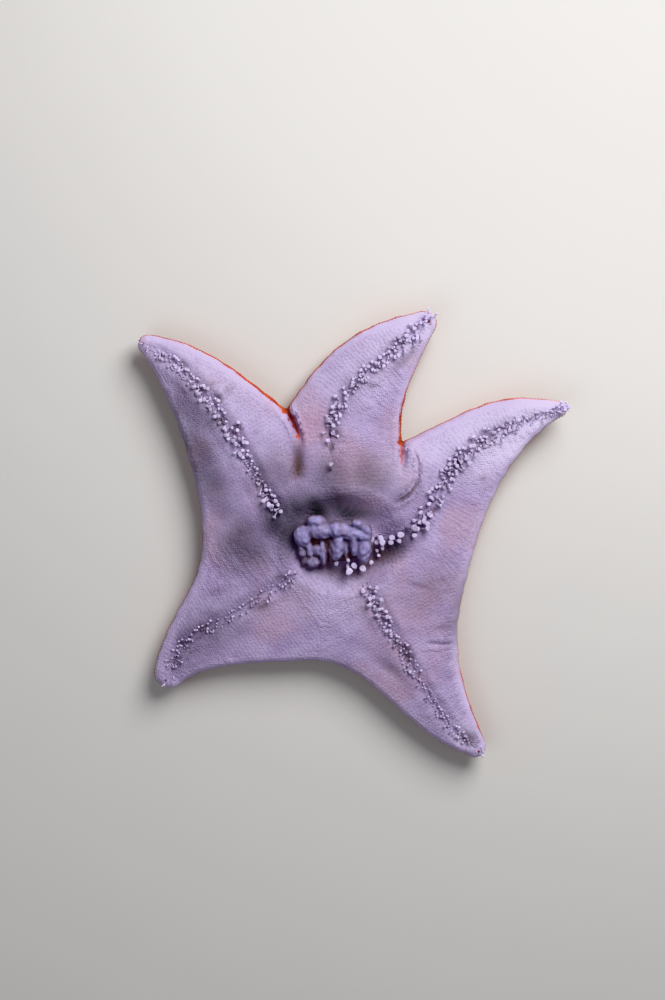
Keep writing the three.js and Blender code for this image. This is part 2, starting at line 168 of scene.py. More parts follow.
# The soft irregular patterns of the body: the size of each in millimetres and its seed.
patterns = {
    "ridge": (6, 17), "swell": (11, 3), "wrinkle": (3.2, 5), "ragged": (4.2, 21),
    "shade": (8, 15), "furrowShade": (6, 13), "furrowBrownShade": (5, 19), "orange": (4, 9),
}


def polar(length, bearing):
    return length * np.exp(1j * np.radians(bearing))


def bell(value, width):
    return np.exp(-(value / width) ** 2)


def stepBetween(low, high, value):
    t = np.clip((value - low) / (high - low), 0, 1)
    return t * t * (3 - 2 * t)


def leadCurve(start, startStep, end, endStep):
    return (start, start + startStep, end - endStep, end)


def curveAt(curve, t):
    a, b, c, d = curve
    return (1 - t) ** 3 * a + 3 * (1 - t) ** 2 * t * b + 3 * (1 - t) * t * t * c + t ** 3 * d


# Points spread evenly along a path, with the direction there.
def evenly(path, spacing, start=0.0):
    length = np.concatenate([[0], np.cumsum(np.abs(np.diff(path)))])
    at = np.arange(start, length[-1], spacing)
    points = np.interp(at, length, path.real) + 1j * np.interp(at, length, path.imag)
    ahead = np.interp(at + 0.3, length, path.real) + 1j * np.interp(at + 0.3, length, path.imag)
    behind = np.interp(at - 0.3, length, path.real) + 1j * np.interp(at - 0.3, length, path.imag)
    along = ahead - behind
    return points, along / np.abs(along), at / length[-1]


for arm in arms:
    bearing, out, into, arriving = arm["furrow"]
    arm["tip"] = polar(arm["reach"], arm["bearing"])
    arm["curve"] = leadCurve(0, polar(out, bearing), arm["tip"], polar(into, arriving))
    arm["path"] = curveAt(arm["curve"], np.linspace(0, 1, 61))
for gap in gaps:
    gap["point"] = polar(gap["reach"], gap["bearing"])
    gap["seam"] = curveAt((gap["point"], *gap["slit"]), np.linspace(0, 1, 24)) if gap["fold"] else None
for line in creases:
    start, middle, end = line["path"]
    t = np.linspace(0, 1, 17)
    line["line"] = (1 - t) ** 2 * start + 2 * t * (1 - t) * middle + t * t * end

# Each arm has two halves, either side of its furrow. side is 1 on the left, looking out from the mouth.
halves = []
for index, arm in enumerate(arms):
    for side, key in ((1, "left"), (-1, "right")):
        bearing, out, into, taper = arm[key]
        meets = arm["tipBearing"] + side * (90 - taper)
        gap = gaps[(index - 1) % 5 if side > 0 else index]
        edge = leadCurve(
            gap["point"], polar(out, bearing),
            arm["tip"] + polar(arm["tipRadius"], meets), polar(into, arm["tipBearing"] - side * taper),
        )
        halves.append({
            "arm": arm, "index": index, "side": side, "gap": gap, "edge": edge, "meets": meets,
            "red": arm["redLeft"] if side > 0 else arm["redRight"],
        })


# The margin of one half: 0 at its gap, 1 where the round tip begins and 2 at the middle of the tip.
def marginAt(half, v):
    arm = half["arm"]
    bearing = half["meets"] + (arm["tipBearing"] - half["meets"]) * np.clip(v - 1, 0, 1)
    onTip = arm["tip"] + polar(arm["tipRadius"], bearing)
    return np.where(v <= 1, curveAt(half["edge"], np.clip(v, 0, 1)), onTip)


marginSteps = np.concatenate([np.linspace(0, 1, 46), np.linspace(1, 2, 10)[1:]])
for half in halves:
    half["path"] = marginAt(half, marginSteps)
outline = np.concatenate([
    part for index in (4, 3, 2, 1, 0)
    for part in (halves[2 * index + 1]["path"], halves[2 * index]["path"][::-1])
])
outlineCentre = complex(
    (outline.real.max() + outline.real.min()) / 2,
    (outline.imag.max() + outline.imag.min()) / 2,
)
mouthAt = np.array([
    (cadBox[0][0] + cadBox[1][0]) / 2 / mm - outlineCentre.real,
    (cadBox[0][1] + cadBox[1][1]) / 2 / mm - outlineCentre.imag,
    cadBox[0][2] / mm,
])


# Distance to a path. sided adds whether a point is on its left, looking along it, and how far along it is.
def distanceTo(points, path, sided=False):
    start, step = path[:-1], np.diff(path)
    keep = np.abs(step) > 1e-6
    start, step = start[keep], step[keep]
    least, onLeft, along = np.empty(len(points)), np.empty(len(points), bool), np.empty(len(points))
    for i in range(0, len(points), 6000):
        away = points[i:i + 6000, None] - start
        share = np.clip((away * step.conj()).real / np.abs(step) ** 2, 0, 1)
        spans = np.abs(away - share * step)
        least[i:i + 6000] = spans.min(axis=1)
        if sided:
            row, best = np.arange(len(spans)), spans.argmin(axis=1)
            onLeft[i:i + 6000] = (away * step.conj()).imag[row, best] > 0
            along[i:i + 6000] = (best + share[row, best]) / len(step)
    return (least, onLeft, along) if sided else least


def isInside(points):
    turns = np.empty(len(points))
    loop = np.append(outline, outline[0])
    for i in range(0, len(points), 6000):
        spokes = loop - points[i:i + 6000, None]
        turns[i:i + 6000] = np.angle(spokes[:, 1:] / (spokes[:, :-1] + 1e-12)).sum(axis=1)
    return np.abs(turns) > np.pi


# A soft irregular pattern between about -1 and 1, from waves of many directions.
def ripple(x, y, size, seed):
    waves = np.random.default_rng(seed)
    total = 0
    for _ in range(7):
        turn, phase = waves.uniform(0, 2 * np.pi, 2)
        rate = 2 * np.pi / (size * waves.uniform(0.7, 1.5))
        total = total + np.sin((x * np.cos(turn) + y * np.sin(turn)) * rate + phase)
    return total / 4


# The square of a place's distance from the middle of an oval spot, in the spot's half sizes.
def inSpot(points, place, halfLong, halfWide, turn):
    off = (points - place) * np.exp(-1j * np.radians(turn))
    return (off.real / halfLong) ** 2 + (off.imag / halfWide) ** 2


# The pinched webs: how deep they are, the rolls beside them, the orange in them and the painted shade in
# the fold after it.
def websAt(points):
    fold, roll, red, dark = 0, 0, 0, 0
    for gap in gaps:
        if not gap["fold"]:
            continue
        toSeam, onLeft, along = distanceTo(points, gap["seam"], True)
        fromGap = np.abs(points - gap["point"])
        inward = fromGap / gap["red"]
        fade = 1 - stepBetween(web["fadeFrom"], 1, fromGap / gap["foldLength"])
        fold = fold + gap["fold"] * fade * bell(toSeam, body["foldWidth"])
        side = np.where(onLeft, toSeam, -toSeam)
        lip = gap["lip"] * bell(side - gap["lipAt"], gap["lipWidth"])
        leftRoll = web["leftRoll"] * bell(side + web["leftRollAt"], web["leftRollWidth"])
        roll = roll + fade * (lip + leftRoll)
        slit = web["slitHalf"] * (1 - web["slitTaper"] * np.minimum(1, inward))
        band = 1 - stepBetween(0.75, 1.2, np.abs(side + web["slitShift"] * slit) / slit)
        band = band * (1 - stepBetween(0.92, 1.0, inward)) * stepBetween(0, 0.03, along)
        red = np.maximum(red, gap["redness"] * band)
        after = stepBetween(0.8, 1.15, inward)
        dark = dark + web["darkness"] * fade * bell(toSeam, web["darkWidth"]) * after
    return fold, roll, red, dark


def creasesAt(points):
    crease, lips = 0, 0
    for line in creases:
        toLine, _, along = distanceTo(points, line["line"], True)
        fade = np.minimum(1, 1.5 * np.sin(np.pi * along))
        crease = crease + fade * line["depth"] * bell(toLine, line["width"])
        lips = lips + fade * line["lip"] * bell(toLine - 2 * line["width"], line["width"])
    return crease, lips


# Each pit's darkness is partly painted shade in its hollow and partly stain.
def pitsAt(points):
    pit, pitShadeAndStain = 0, 0
    for place, halfLong, halfWide, turn, depth, dark in pits:
        spot = np.exp(-inSpot(points, place, halfLong, halfWide, turn))
        pit, pitShadeAndStain = pit + depth * spot, pitShadeAndStain + dark * spot
    return pit, pitShadeAndStain


# Painted shade: the strongest of the spots at each place, made a little uneven.
def shadeAt(points):
    shade = 0
    for place, halfLong, halfWide, turn, strength in paintedShades:
        spot = np.exp(-inSpot(points, place, halfLong, halfWide, turn) ** 1.3)
        shade = np.maximum(shade, strength * spot)
    return shade * (1 + 0.12 * ripple(points.real, points.imag, *patterns["shade"]))


def liftAt(points):
    lift = 0
    for arm in arms:
        outward = (points * arm["tip"].conjugate()).real / arm["reach"] ** 2
        share = np.maximum(0, (outward - body["curlFrom"]) / (1 - body["curlFrom"]))
        lift = lift + arm["lift"] * share ** body["curlPower"]
    return lift


# Everything the body's section gives over points of the plan.
def bodyAt(points, onMargin=None):
    x, y = points.real, points.imag
    toMargin = distanceTo(points, outline)
    if onMargin is not None:
        toMargin = np.where(onMargin, 0, toMargin)
    toFurrows = np.array([distanceTo(points, arm["path"]) for arm in arms])
    blend = body["furrowBlend"]
    toFurrow = (np.maximum(toFurrows, 1e-6) ** -blend).sum(axis=0) ** (-1 / blend)
    nearest = toFurrows.min(axis=0)
    halfWidth = toMargin + toFurrow
    across = np.minimum(1, toFurrow / halfWidth)
    fromMouth = np.abs(points)
    edge = body["slimShare"] + (1 - body["slimShare"]) * np.minimum(1, halfWidth / body["slimFullAt"])
    bulge = body["domeDepth"] * halfWidth / (halfWidth + body["domeHalfAt"])
    bulge = bulge + body["discDepth"] * bell(fromMouth, body["discRadius"])
    widest = liftAt(points) + body["keel"] * edge + bulge - body["flatDepth"]
    inner = 1 - np.minimum(1, toMargin / body["edgeRound"])
    rounding = np.sqrt(np.maximum(0, 1 - inner ** 2))
    grooveFrom = np.array([arm["grooveFrom"] for arm in arms])[toFurrows.argmin(axis=0)]
    inFurrow = stepBetween(0, body["furrowOver"], fromMouth - grooveFrom)
    toTip = np.min([np.abs(points - arm["tip"]) for arm in arms], axis=0)
    uneven = 0.65 + 0.35 * ripple(x, y, *patterns["ridge"])
    relief = body["ridgeHeight"] * bell(nearest - body["ridgeAt"], body["ridgeWidth"]) * uneven
    beforeTip = stepBetween(0, body["furrowTip"], toTip)
    relief = relief - body["furrowDepth"] * bell(nearest, body["furrowWidth"]) * beforeTip
    out = points - body["hollowCentre"]
    out = np.hypot(out.real / body["hollowHalf"][0], out.imag / body["hollowHalf"][1])
    hollow = body["hollowDepth"] * (1 - stepBetween(body["hollowFloor"], 1, out))
    fold, roll, red, foldShade = websAt(points)
    crease, lips = creasesAt(points)
    pit, pitShadeAndStain = pitsAt(points)
    inside = np.minimum(1, toMargin / body["smoothEdge"])
    swell = body["swell"] * ripple(x, y, *patterns["swell"])
    soft = swell + body["wrinkle"] * ripple(x, y, *patterns["wrinkle"]) + lips - crease - pit
    oral = widest + body["rim"] * edge * rounding + body["crown"] * edge * (1 - across ** 2)
    oral = oral + (relief * inFurrow + roll - hollow - fold) * rounding + soft * inside
    aboral = np.maximum(0, widest - body["keel"] * edge * rounding - bulge * (1 - across ** 2))
    # Painted shade: grey dimming from the spots and beside the furrows, and warm brown (deep) beside the
    # furrows, in the creases, in the crevice under the stomach and in the fold after each orange slit. In
    # the pits it is partly painted shade and partly stain.
    beside = bell(nearest - gather["reach"], gather["width"]) * inFurrow
    beside = beside * stepBetween(*gather["fromMargin"], toMargin)
    shade = gather["shade"] * beside * (0.6 + 0.4 * ripple(x, y, *patterns["furrowShade"]))
    shade = shadeAt(points) + shade
    crevice = bell(out - gather["creviceAt"], gather["creviceWidth"])
    crevice = crevice * (1 - stepBetween(*gather["creviceEnds"], y))
    deep = gather["crease"] * np.minimum(1, crease) + pitShadeAndStain + gather["crevice"] * crevice + foldShade
    deep = deep + gather["brownShade"] * beside * (0.5 + 0.5 * ripple(x, y, *patterns["furrowBrownShade"]))
    ragged = 0.5 + 0.5 * ripple(x, y, *patterns["ragged"])
    ragged = ragged * (1 - stepBetween(0, body["smoothEdge"], toMargin))
    return {
        "oral": oral, "aboral": aboral, "widest": widest, "edge": edge, "toMargin": toMargin,
        "nearest": nearest, "toFurrows": toFurrows, "red": red, "fromMouth": fromMouth,
        "blush": sum(strength * bell(np.abs(points - place), size) for place, size, strength in blushes),
        "deep": np.clip(deep, 0, 1), "shade": np.clip(shade, 0, 1),
        "depth": body["coat"] + body["ragged"] * ragged,
    }


def vertexNormals(points, faces):
    corners = points[faces]
    faceNormals = np.cross(corners[:, 1] - corners[:, 0], corners[:, 2] - corners[:, 0])
    normals = np.zeros_like(points)
    for corner in range(3):
        np.add.at(normals, faces[:, corner], faceNormals)
    return normals / np.maximum(np.linalg.norm(normals, axis=1, keepdims=True), 1e-12)


# A smooth mesh from points in millimetres round the mouth, with one number per point for each named fact.
def makePiece(name, points, faces, facts=None, bakePlaces=None):
    mesh = bpy.data.meshes.new(name)
    mesh.vertices.add(len(points))
    mesh.vertices.foreach_set("co", ((points + mouthAt) * mm).astype(np.float32).ravel())
    mesh.loops.add(faces.size)
    mesh.loops.foreach_set("vertex_index", faces.astype(np.int32).ravel())
    mesh.polygons.add(len(faces))
    mesh.polygons.foreach_set("loop_start", np.arange(0, faces.size, 3, dtype=np.int32))
    mesh.update(calc_edges=True)
    mesh.polygons.foreach_set("use_smooth", np.ones(len(faces), bool))
    for key, values in (facts or {}).items():
        made = mesh.attributes.new(key, "FLOAT", "POINT")
        made.data.foreach_set("value", np.asarray(values, dtype=np.float32))
    if bakePlaces is not None:
        layer = mesh.uv_layers.new(name="OFBake")
        layer.data.foreach_set("uv", bakePlaces[faces.ravel()].astype(np.float32).ravel())
    mesh.update()
    piece = bpy.data.objects.new(name, mesh)
    bpy.context.scene.collection.objects.link(piece)
    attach(piece, "root")
    return piece


# Small solids as (points, faces, height share), to be copied many times.
def latheSolid(profile, sides):
    turn = np.arange(sides) * 2 * np.pi / sides
    rings, first, faces = [], [], []
    for radius, height in profile:
        first.append(sum(len(r) for r in rings))
        if radius == 0:
            rings.append(np.array([[0, 0, height]]))
        else:
            rings.append(np.c_[radius * np.cos(turn), radius * np.sin(turn), np.full(sides, height)])
    for i in range(len(profile) - 1):
        a, b = first[i], first[i + 1]
        for s in range(sides):
            n = (s + 1) % sides
            if len(rings[i]) > 1 and len(rings[i + 1]) > 1:
                faces += [(a + s, a + n, b + n), (a + s, b + n, b + s)]
            elif len(rings[i]) > 1:
                faces.append((a + s, a + n, b))
            elif len(rings[i + 1]) > 1:
                faces.append((a, b + n, b + s))
    points = np.concatenate(rings)
    top = max(height for _, height in profile)
    return points, np.array(faces), np.clip(points[:, 2] / top, 0, 1)


def axesAlong(direction):
    direction = np.asarray(direction, float) / np.linalg.norm(direction)
    side = np.cross([0, 1, 0] if abs(direction[1]) < 0.9 else [1, 0, 0], direction)
    side /= np.linalg.norm(side)
    return np.stack([side, np.cross(direction, side), direction])


def joinSolids(solids):
    points, faces, share, count = [], [], [], 0
    for p, f, s in solids:
        points.append(p)
        faces.append(f + count)
        share.append(s)
        count += len(p)
    return np.concatenate(points), np.concatenate(faces), np.concatenate(share)


# Copies of a few small solids set on many places. frames holds for each place its three axes as rows.
def setMany(solids, places, frames, sizes, picks, bakeRoots):
    points, faces, share, owner, bake, count = [], [], [], [], [], 0
    for pick, (shape, shapeFaces, shapeShare) in enumerate(solids):
        chosen = np.flatnonzero(picks == pick)
        if not len(chosen):
            continue
        local = shape[None] * sizes[chosen, None, None]
        world = np.einsum("nvk,nkj->nvj", local, frames[chosen]) + places[chosen, None]
        points.append(world.reshape(-1, 3))
        index = shapeFaces[None] + (np.arange(len(chosen)) * len(shape))[:, None, None] + count
        faces.append(index.reshape(-1, 3))
        share.append(np.tile(shapeShare, len(chosen)))
        owner.append(np.repeat(chosen, len(shape)))
        patch = shape[:, :2] / np.abs(shape[:, :2]).max() * 0.0015
        bake.append((bakeRoots[chosen, None] + patch[None]).reshape(-1, 2))
        count += len(chosen) * len(shape)
    return (np.concatenate(points), np.concatenate(faces), np.concatenate(share),
            np.concatenate(owner), np.concatenate(bake))


# Where a place of the skin lies on the skin's own unwrap: each side is laid flat outwards from its middle,
# by the length over the surface, the mouth side in the left half and the back in the right.
unwrapTurns = np.linspace(0, 2 * np.pi, 97)
unwrapReaches = np.linspace(0, 84, 57)
unwrapGrid = unwrapReaches[None] * np.exp(1j * unwrapTurns[:, None])
unwrapBody = bodyAt(unwrapGrid.ravel())
unwrapLengths = {}
for level in ("oral", "aboral"):
    heights = unwrapBody[level].reshape(unwrapGrid.shape)
    rises = np.clip(np.abs(np.diff(heights, axis=1)), 0, 1.5)
    steps = np.hypot(rises, np.diff(unwrapReaches)[None])
    middleLengths = np.zeros((len(unwrapTurns), 1))
    unwrapLengths[level] = np.concatenate([middleLengths, np.cumsum(steps, axis=1)], axis=1)


def unwrapAt(points, level):
    turn = np.mod(np.angle(points), 2 * np.pi) / (2 * np.pi) * (len(unwrapTurns) - 1)
    reach = np.abs(points) / unwrapReaches[-1] * (len(unwrapReaches) - 1)
    reach = np.clip(reach, 0, len(unwrapReaches) - 1.001)
    i, j = turn.astype(int), reach.astype(int)
    i = np.minimum(i, len(unwrapTurns) - 2)
    a, b = turn - i, reach - j
    table = unwrapLengths[level]
    length = (table[i, j] * (1 - a) * (1 - b) + table[i + 1, j] * a * (1 - b)
              + table[i, j + 1] * (1 - a) * b + table[i + 1, j + 1] * a * b)
    flat = length * np.exp(1j * np.angle(points)) / 100
    middle = 0.25 if level == "oral" else 0.75
    return np.c_[middle + flat.real * 0.25, 0.5 + flat.imag * 0.5]


print("plan laid out")

# Materials. Facts written on the meshes steer them: back is how far a place belongs to the orange back,
# deep how far it is darkened warm brown by painted shade in hollows, creases and folds (in the pits partly
# stain; on the stomach low in its gaps), shade how far it is dimmed grey by painted shade, the pale fact
# how far it is paler at the margins or brightened by painted light, tone an offset for one plate, and tall
# the height share in a spinelet.
# In these colours, deep is the brown and dimming the grey multiplier of painted shade, the pale mouth-side
# colour is also the painted light, and the stomach's darkest brown is its painted shade.
colours = {
    "oral": (0.40, 0.31, 0.52), "oralLight": (0.485, 0.405, 0.64), "oralDull": (0.30, 0.20, 0.33),
    "oralWarm": (0.46, 0.315, 0.43), "oralPaleAndLit": (0.78, 0.69, 0.95),
    "deep": (0.10, 0.062, 0.056), "back": (0.42, 0.06, 0.035), "backLight": (0.60, 0.14, 0.06),
    "backDark": (0.20, 0.025, 0.02), "stomach": (0.22, 0.185, 0.335), "stomachLight": (0.36, 0.335, 0.585),
    "stomachShade": (0.13, 0.085, 0.09), "foot": (0.63, 0.55, 0.79), "footStalk": (0.49, 0.40, 0.57),
    "sieve": (0.80, 0.62, 0.42), "eyespot": (0.16, 0.02, 0.015), "floor": (0.66, 0.65, 0.63),
    "dimming": (0.10, 0.132, 0.086), "combTip": (0.72, 0.64, 0.86), "granuleTip": (0.86, 0.40, 0.18),
    "stomachThin": (0.28, 0.22, 0.31), "sievePore": (0.30, 0.14, 0.07), "sieveChalk": (0.9, 0.78, 0.62),
    "eyespotLight": (0.30, 0.05, 0.04), "floorGrain": (0.61, 0.60, 0.59),
}


class Finish:
    def __init__(self, name, roughness, scatter=0.0, scatterRadius=(1.0, 0.5, 0.5), coat=0.0,
                 specular=0.12):
        self.material = bpy.data.materials.new(name)
        self.material.use_nodes = True
        self.tree = self.material.node_tree
        self.shader = self.tree.nodes["Principled BSDF"]
        self.shader.inputs["Roughness"].default_value = roughness
        self.shader.inputs["Subsurface Weight"].default_value = scatter
        self.shader.inputs["Subsurface Radius"].default_value = scatterRadius
        self.shader.inputs["Subsurface Scale"].default_value = 0.0012
        self.shader.inputs["Coat Weight"].default_value = coat
        self.shader.inputs["Coat Roughness"].default_value = 0.15
        self.shader.inputs["Specular IOR Level"].default_value = specular
        self.place = self.node("ShaderNodeTexCoord").outputs["Object"]

    def node(self, kind, **settings):
        made = self.tree.nodes.new(kind)
        for key, value in settings.items():
            setattr(made, key, value)
        return made

    def fact(self, key):
        return self.node("ShaderNodeAttribute", attribute_name=key).outputs["Fac"]

    def rgb(self, colour):
        return (*colour, 1.0)

    def mix(self, factor, a, b, blend="MIX"):
        made = self.node("ShaderNodeMix", data_type="RGBA", blend_type=blend)
        for socket, value in (("Factor", factor), ("A", a), ("B", b)):
            index = {"Factor": 0, "A": 6, "B": 7}[socket]
            if isinstance(value, bpy.types.NodeSocket):
                self.tree.links.new(value, made.inputs[index])
            elif socket == "Factor":
                made.inputs[index].default_value = value
            else:
                made.inputs[index].default_value = self.rgb(value)
        return made.outputs[2]

    def maths(self, operation, a, b, clamp=False):
        made = self.node("ShaderNodeMath", operation=operation, use_clamp=clamp)
        for index, value in enumerate((a, b)):
            if isinstance(value, bpy.types.NodeSocket):
                self.tree.links.new(value, made.inputs[index])
            else:
                made.inputs[index].default_value = value
        return made.outputs[0]

    def noise(self, size, detail=3.0, rough=0.5):
        made = self.node("ShaderNodeTexNoise")
        made.inputs["Scale"].default_value = 1 / (size * mm)
        made.inputs["Detail"].default_value = detail
        made.inputs["Roughness"].default_value = rough
        self.tree.links.new(self.place, made.inputs["Vector"])
        return made.outputs["Fac"]

    def cells(self, size):
        made = self.node("ShaderNodeTexVoronoi", feature="F1")
        made.inputs["Scale"].default_value = 1 / (size * mm)
        self.tree.links.new(self.place, made.inputs["Vector"])
        return made.outputs["Distance"]

    def spread(self, value, low, high, outLow=0.0, outHigh=1.0):
        made = self.node("ShaderNodeMapRange")
        for key, number in (("From Min", low), ("From Max", high), ("To Min", outLow), ("To Max", outHigh)):
            made.inputs[key].default_value = number
        self.tree.links.new(value, made.inputs["Value"])
        return made.outputs["Result"]

    # A colour made a little darker or lighter, each plate or foot by its own tone.
    def toned(self, colour, darkest, lightest):
        tone = self.spread(self.fact("tone"), -1.0, 1.0, darkest, lightest)
        grey = self.node("ShaderNodeCombineColor")
        for socket in grey.inputs:
            self.tree.links.new(tone, socket)
        return self.mix(1.0, colour, grey.outputs[0], "MULTIPLY")

    def paint(self, colour):
        self.tree.links.new(colour, self.shader.inputs["Base Color"])

    def roughen(self, value):
        self.tree.links.new(value, self.shader.inputs["Roughness"])

    def bump(self, height, depth, strength=1.0):
        made = self.node("ShaderNodeBump")
        made.inputs["Strength"].default_value = strength
        made.inputs["Distance"].default_value = depth * mm
        self.tree.links.new(height, made.inputs["Height"])
        self.tree.links.new(made.outputs["Normal"], self.shader.inputs["Normal"])


# The colour that skin and coat share: lilac pink on the mouth side, paler along the margins and brightened
# with painted light on the upper sides and tips of the arms, dimmed grey by painted shade round the mouth
# and on the flanks turned from the light, warm brown with painted shade in the hollows, creases, folds and
# pits (in the pits partly stain), and orange red on the back.
def starColour(finish, dull):
    patchy = finish.spread(finish.noise(7.0, 4.0), 0.35, 0.68)
    fine = finish.spread(finish.noise(1.1, 2.0), 0.3, 0.7)
    oral = finish.mix(patchy, colours["oral"], colours["oralLight"])
    warm = finish.spread(finish.noise(16.0, 3.0), 0.48, 0.66, 0.0, 0.6)
    oral = finish.mix(warm, oral, colours["oralWarm"])
    oral = finish.mix(finish.maths("MULTIPLY", fine, dull), oral, colours["oralDull"])
    # Paler along the margins, and painted light on the arms' upper sides and tips.
    oral = finish.mix(finish.fact("paleAndLit"), oral, colours["oralPaleAndLit"])
    mottle = finish.spread(finish.noise(4.5, 5.0, 0.6), 0.40, 0.62)
    back = finish.mix(mottle, colours["back"], colours["backLight"])
    blotchy = finish.spread(finish.noise(9.0, 3.0), 0.52, 0.72, 0.0, 0.7)
    back = finish.mix(blotchy, back, colours["backDark"])
    # Painted shade: grey dimming by the shade fact, then warm brown by the deep fact.
    dimmed = finish.mix(1.0, oral, colours["dimming"], "MULTIPLY")
    oral = finish.mix(finish.fact("shade"), oral, dimmed)
    oral = finish.mix(finish.fact("deep"), oral, colours["deep"])
    return finish.mix(finish.fact("back"), oral, back)


def skinFinish():
    finish = Finish("starSkin", 0.6, scatter=0.15, scatterRadius=(1.0, 0.8, 0.9))
    finish.paint(starColour(finish, 0.0))
    finish.roughen(finish.spread(finish.noise(1.6), 0.3, 0.7, 0.5, 0.7))
    granules = finish.maths("MULTIPLY", finish.cells(0.42), -0.8)
    finish.bump(finish.maths("ADD", granules, finish.noise(0.8, 3.0)), 0.05)
    return finish.material


def coatFinish():
    finish = Finish("limySpinelets", 0.62)
    colour = starColour(finish, 0.08)
    hidden = finish.maths("ADD", finish.fact("deep"), finish.fact("shade"), clamp=True)
    clear = finish.maths("SUBTRACT", 1.0, hidden)
    tips = finish.maths("MULTIPLY", finish.spread(finish.fact("tall"), 0.2, 1.0, 0.0, 0.06), clear)
    tipColour = finish.mix(finish.fact("back"), colours["combTip"], colours["granuleTip"])
    colour = finish.mix(tips, colour, tipColour)
    finish.paint(finish.toned(colour, 0.93, 1.06))
    finish.bump(finish.noise(0.16, 2.0), 0.02)
    return finish.material


def footFinish():
    finish = Finish("wetTubeFoot", 0.4, scatter=0.15, scatterRadius=(1.0, 0.8, 1.0), coat=0.1, specular=0.3)
    sucker = finish.spread(finish.fact("tall"), 0.45, 0.95)
    colour = finish.mix(sucker, colours["footStalk"], colours["foot"])
    cloudy = finish.spread(finish.noise(0.7, 2.0), 0.45, 0.75, 0.0, 0.35)
    colour = finish.mix(cloudy, colour, colours["footStalk"])
    finish.paint(finish.toned(colour, 0.62, 1.2))
    finish.bump(finish.noise(0.25, 2.0), 0.03)
    return finish.material


def stomachFinish():
    finish = Finish("stomachMembrane", 0.5, scatter=0.8, scatterRadius=(1.1, 0.9, 1.2), specular=0.2)
    veins = finish.spread(finish.noise(2.0, 5.0, 0.6), 0.36, 0.64)
    colour = finish.mix(veins, colours["stomach"], colours["stomachLight"])
    thin = finish.spread(finish.noise(3.6, 2.0), 0.52, 0.7, 0.0, 0.5)
    colour = finish.mix(thin, colour, colours["stomachThin"])
    # Painted shade: darker brown low in the gaps and on the core.
    colour = finish.mix(finish.fact("deep"), colour, colours["stomachShade"])
    finish.paint(colour)
    finish.roughen(finish.spread(finish.noise(1.0), 0.3, 0.7, 0.42, 0.65))
    finish.bump(finish.noise(0.5, 4.0), 0.1)
    return finish.material


def sieveFinish():
    finish = Finish("sievePlate", 0.65)
    colour = finish.mix(finish.fact("deep"), colours["sieve"], colours["sievePore"])
    chalky = finish.spread(finish.noise(0.6, 3.0), 0.4, 0.7, 0, 0.4)
    finish.paint(finish.mix(chalky, colour, colours["sieveChalk"]))
    finish.bump(finish.noise(0.2, 3.0), 0.03)
    return finish.material


def eyespotFinish():
    finish = Finish("eyespotPigment", 0.2, scatter=0.2, coat=0.7)
    speckled = finish.spread(finish.noise(0.35, 3.0), 0.4, 0.65)
    finish.paint(finish.mix(speckled, colours["eyespot"], colours["eyespotLight"]))
    return finish.material


def floorFinish():
    finish = Finish("paleFloor", 0.7, specular=0.25)
    grain = finish.spread(finish.noise(22.0, 4.0), 0.35, 0.7, 0.0, 0.12)
    finish.paint(finish.mix(grain, colours["floor"], colours["floorGrain"]))
    finish.bump(finish.noise(1.5, 3.0), 0.05, 0.4)
    return finish.material


skinMaterial, coatMaterial, footMaterial = skinFinish(), coatFinish(), footFinish()
print("finishes mixed")


# The skin: one surface, laid from every furrow to its margins on both sides and drawn in by the coat.
def columnShares(count):
    even = np.linspace(0, 1, count)
    return 0.4 * even + 0.6 * (1 - np.cos(even * np.pi)) / 2


skin = {
    "rows": 64, "tipRows": 16, "oralColumns": 46, "backColumns": 30,
    "fineEdge": 0.42, "fineReach": 3.2, "refineTimes": 2, "overFloor": 0.05,
}


def layRows(half, shares):
    v = np.concatenate([np.linspace(0, 1, skin["rows"]) ** 1.25, np.linspace(1, 2, skin["tipRows"])[1:]])
    out = np.minimum(v, 1)
    onMargin = marginAt(half, v)[:, None]
    onFurrow = curveAt(half["arm"]["curve"], out * (1.5 - 0.5 * out))[:, None]
    bow = half["gap"]["bend"] * (4 * shares * (1 - shares))[None] * ((1 - out) ** 2)[:, None]
    return onFurrow + (onMargin - onFurrow) * shares[None] + bow


# Halves the long edges near the pinched webs and creases, and splits the triangles on both sides of each.
def refineFolds(points, faces, onBack):
    ends = np.sort(np.stack([faces, np.roll(faces, -1, axis=1)], axis=-1).reshape(-1, 2), axis=1)
    edges, which = np.unique(ends, axis=0, return_inverse=True)
    middle = points[edges].mean(axis=1)
    plan = middle[:, 0] + 1j * middle[:, 1]
    paths = [gap["seam"] for gap in gaps if gap["fold"]] + [line["line"] for line in creases]
    near = np.min([distanceTo(plan, path) for path in paths], axis=0) < skin["fineReach"]
    span = np.linalg.norm(points[edges[:, 0]] - points[edges[:, 1]], axis=1)
    split = near & (span > skin["fineEdge"]) & (onBack[edges].max(axis=1) < 0.6)
    fresh = np.cumsum(split) - 1 + len(points)
    along = split & (onBack[edges].min(axis=1) > 0.4)
    height = bodyAt(plan[split])["oral"]
    height[along[split]] = middle[split][along[split], 2]
    added = np.c_[middle[split][:, :2], height]
    marks, halved = split[which].reshape(-1, 3), fresh[which].reshape(-1, 3)
    count = marks.sum(axis=1)
    made = [faces[count == 0]]
    for turn in range(3):
        a, b, c = np.roll(faces, -turn, axis=1).T
        m, n, o = np.roll(halved, -turn, axis=1).T
        first, second, _ = np.roll(marks, -turn, axis=1).T
        one = (count == 1) & first
        made += [np.c_[a, m, c][one], np.c_[m, b, c][one]]
        two = (count == 2) & first & second
        made += [np.c_[m, b, n][two], np.c_[a, m, n][two], np.c_[a, n, c][two]]
        if turn == 0:
            every = count == 3
            for trio in ((a, m, o), (m, b, n), (o, n, c), (m, n, o)):
                made.append(np.c_[trio][every])
    onBack = np.append(onBack, np.where(along[split], 0.5, 0.0))
    return np.concatenate([points, added]), np.concatenate(made), onBack


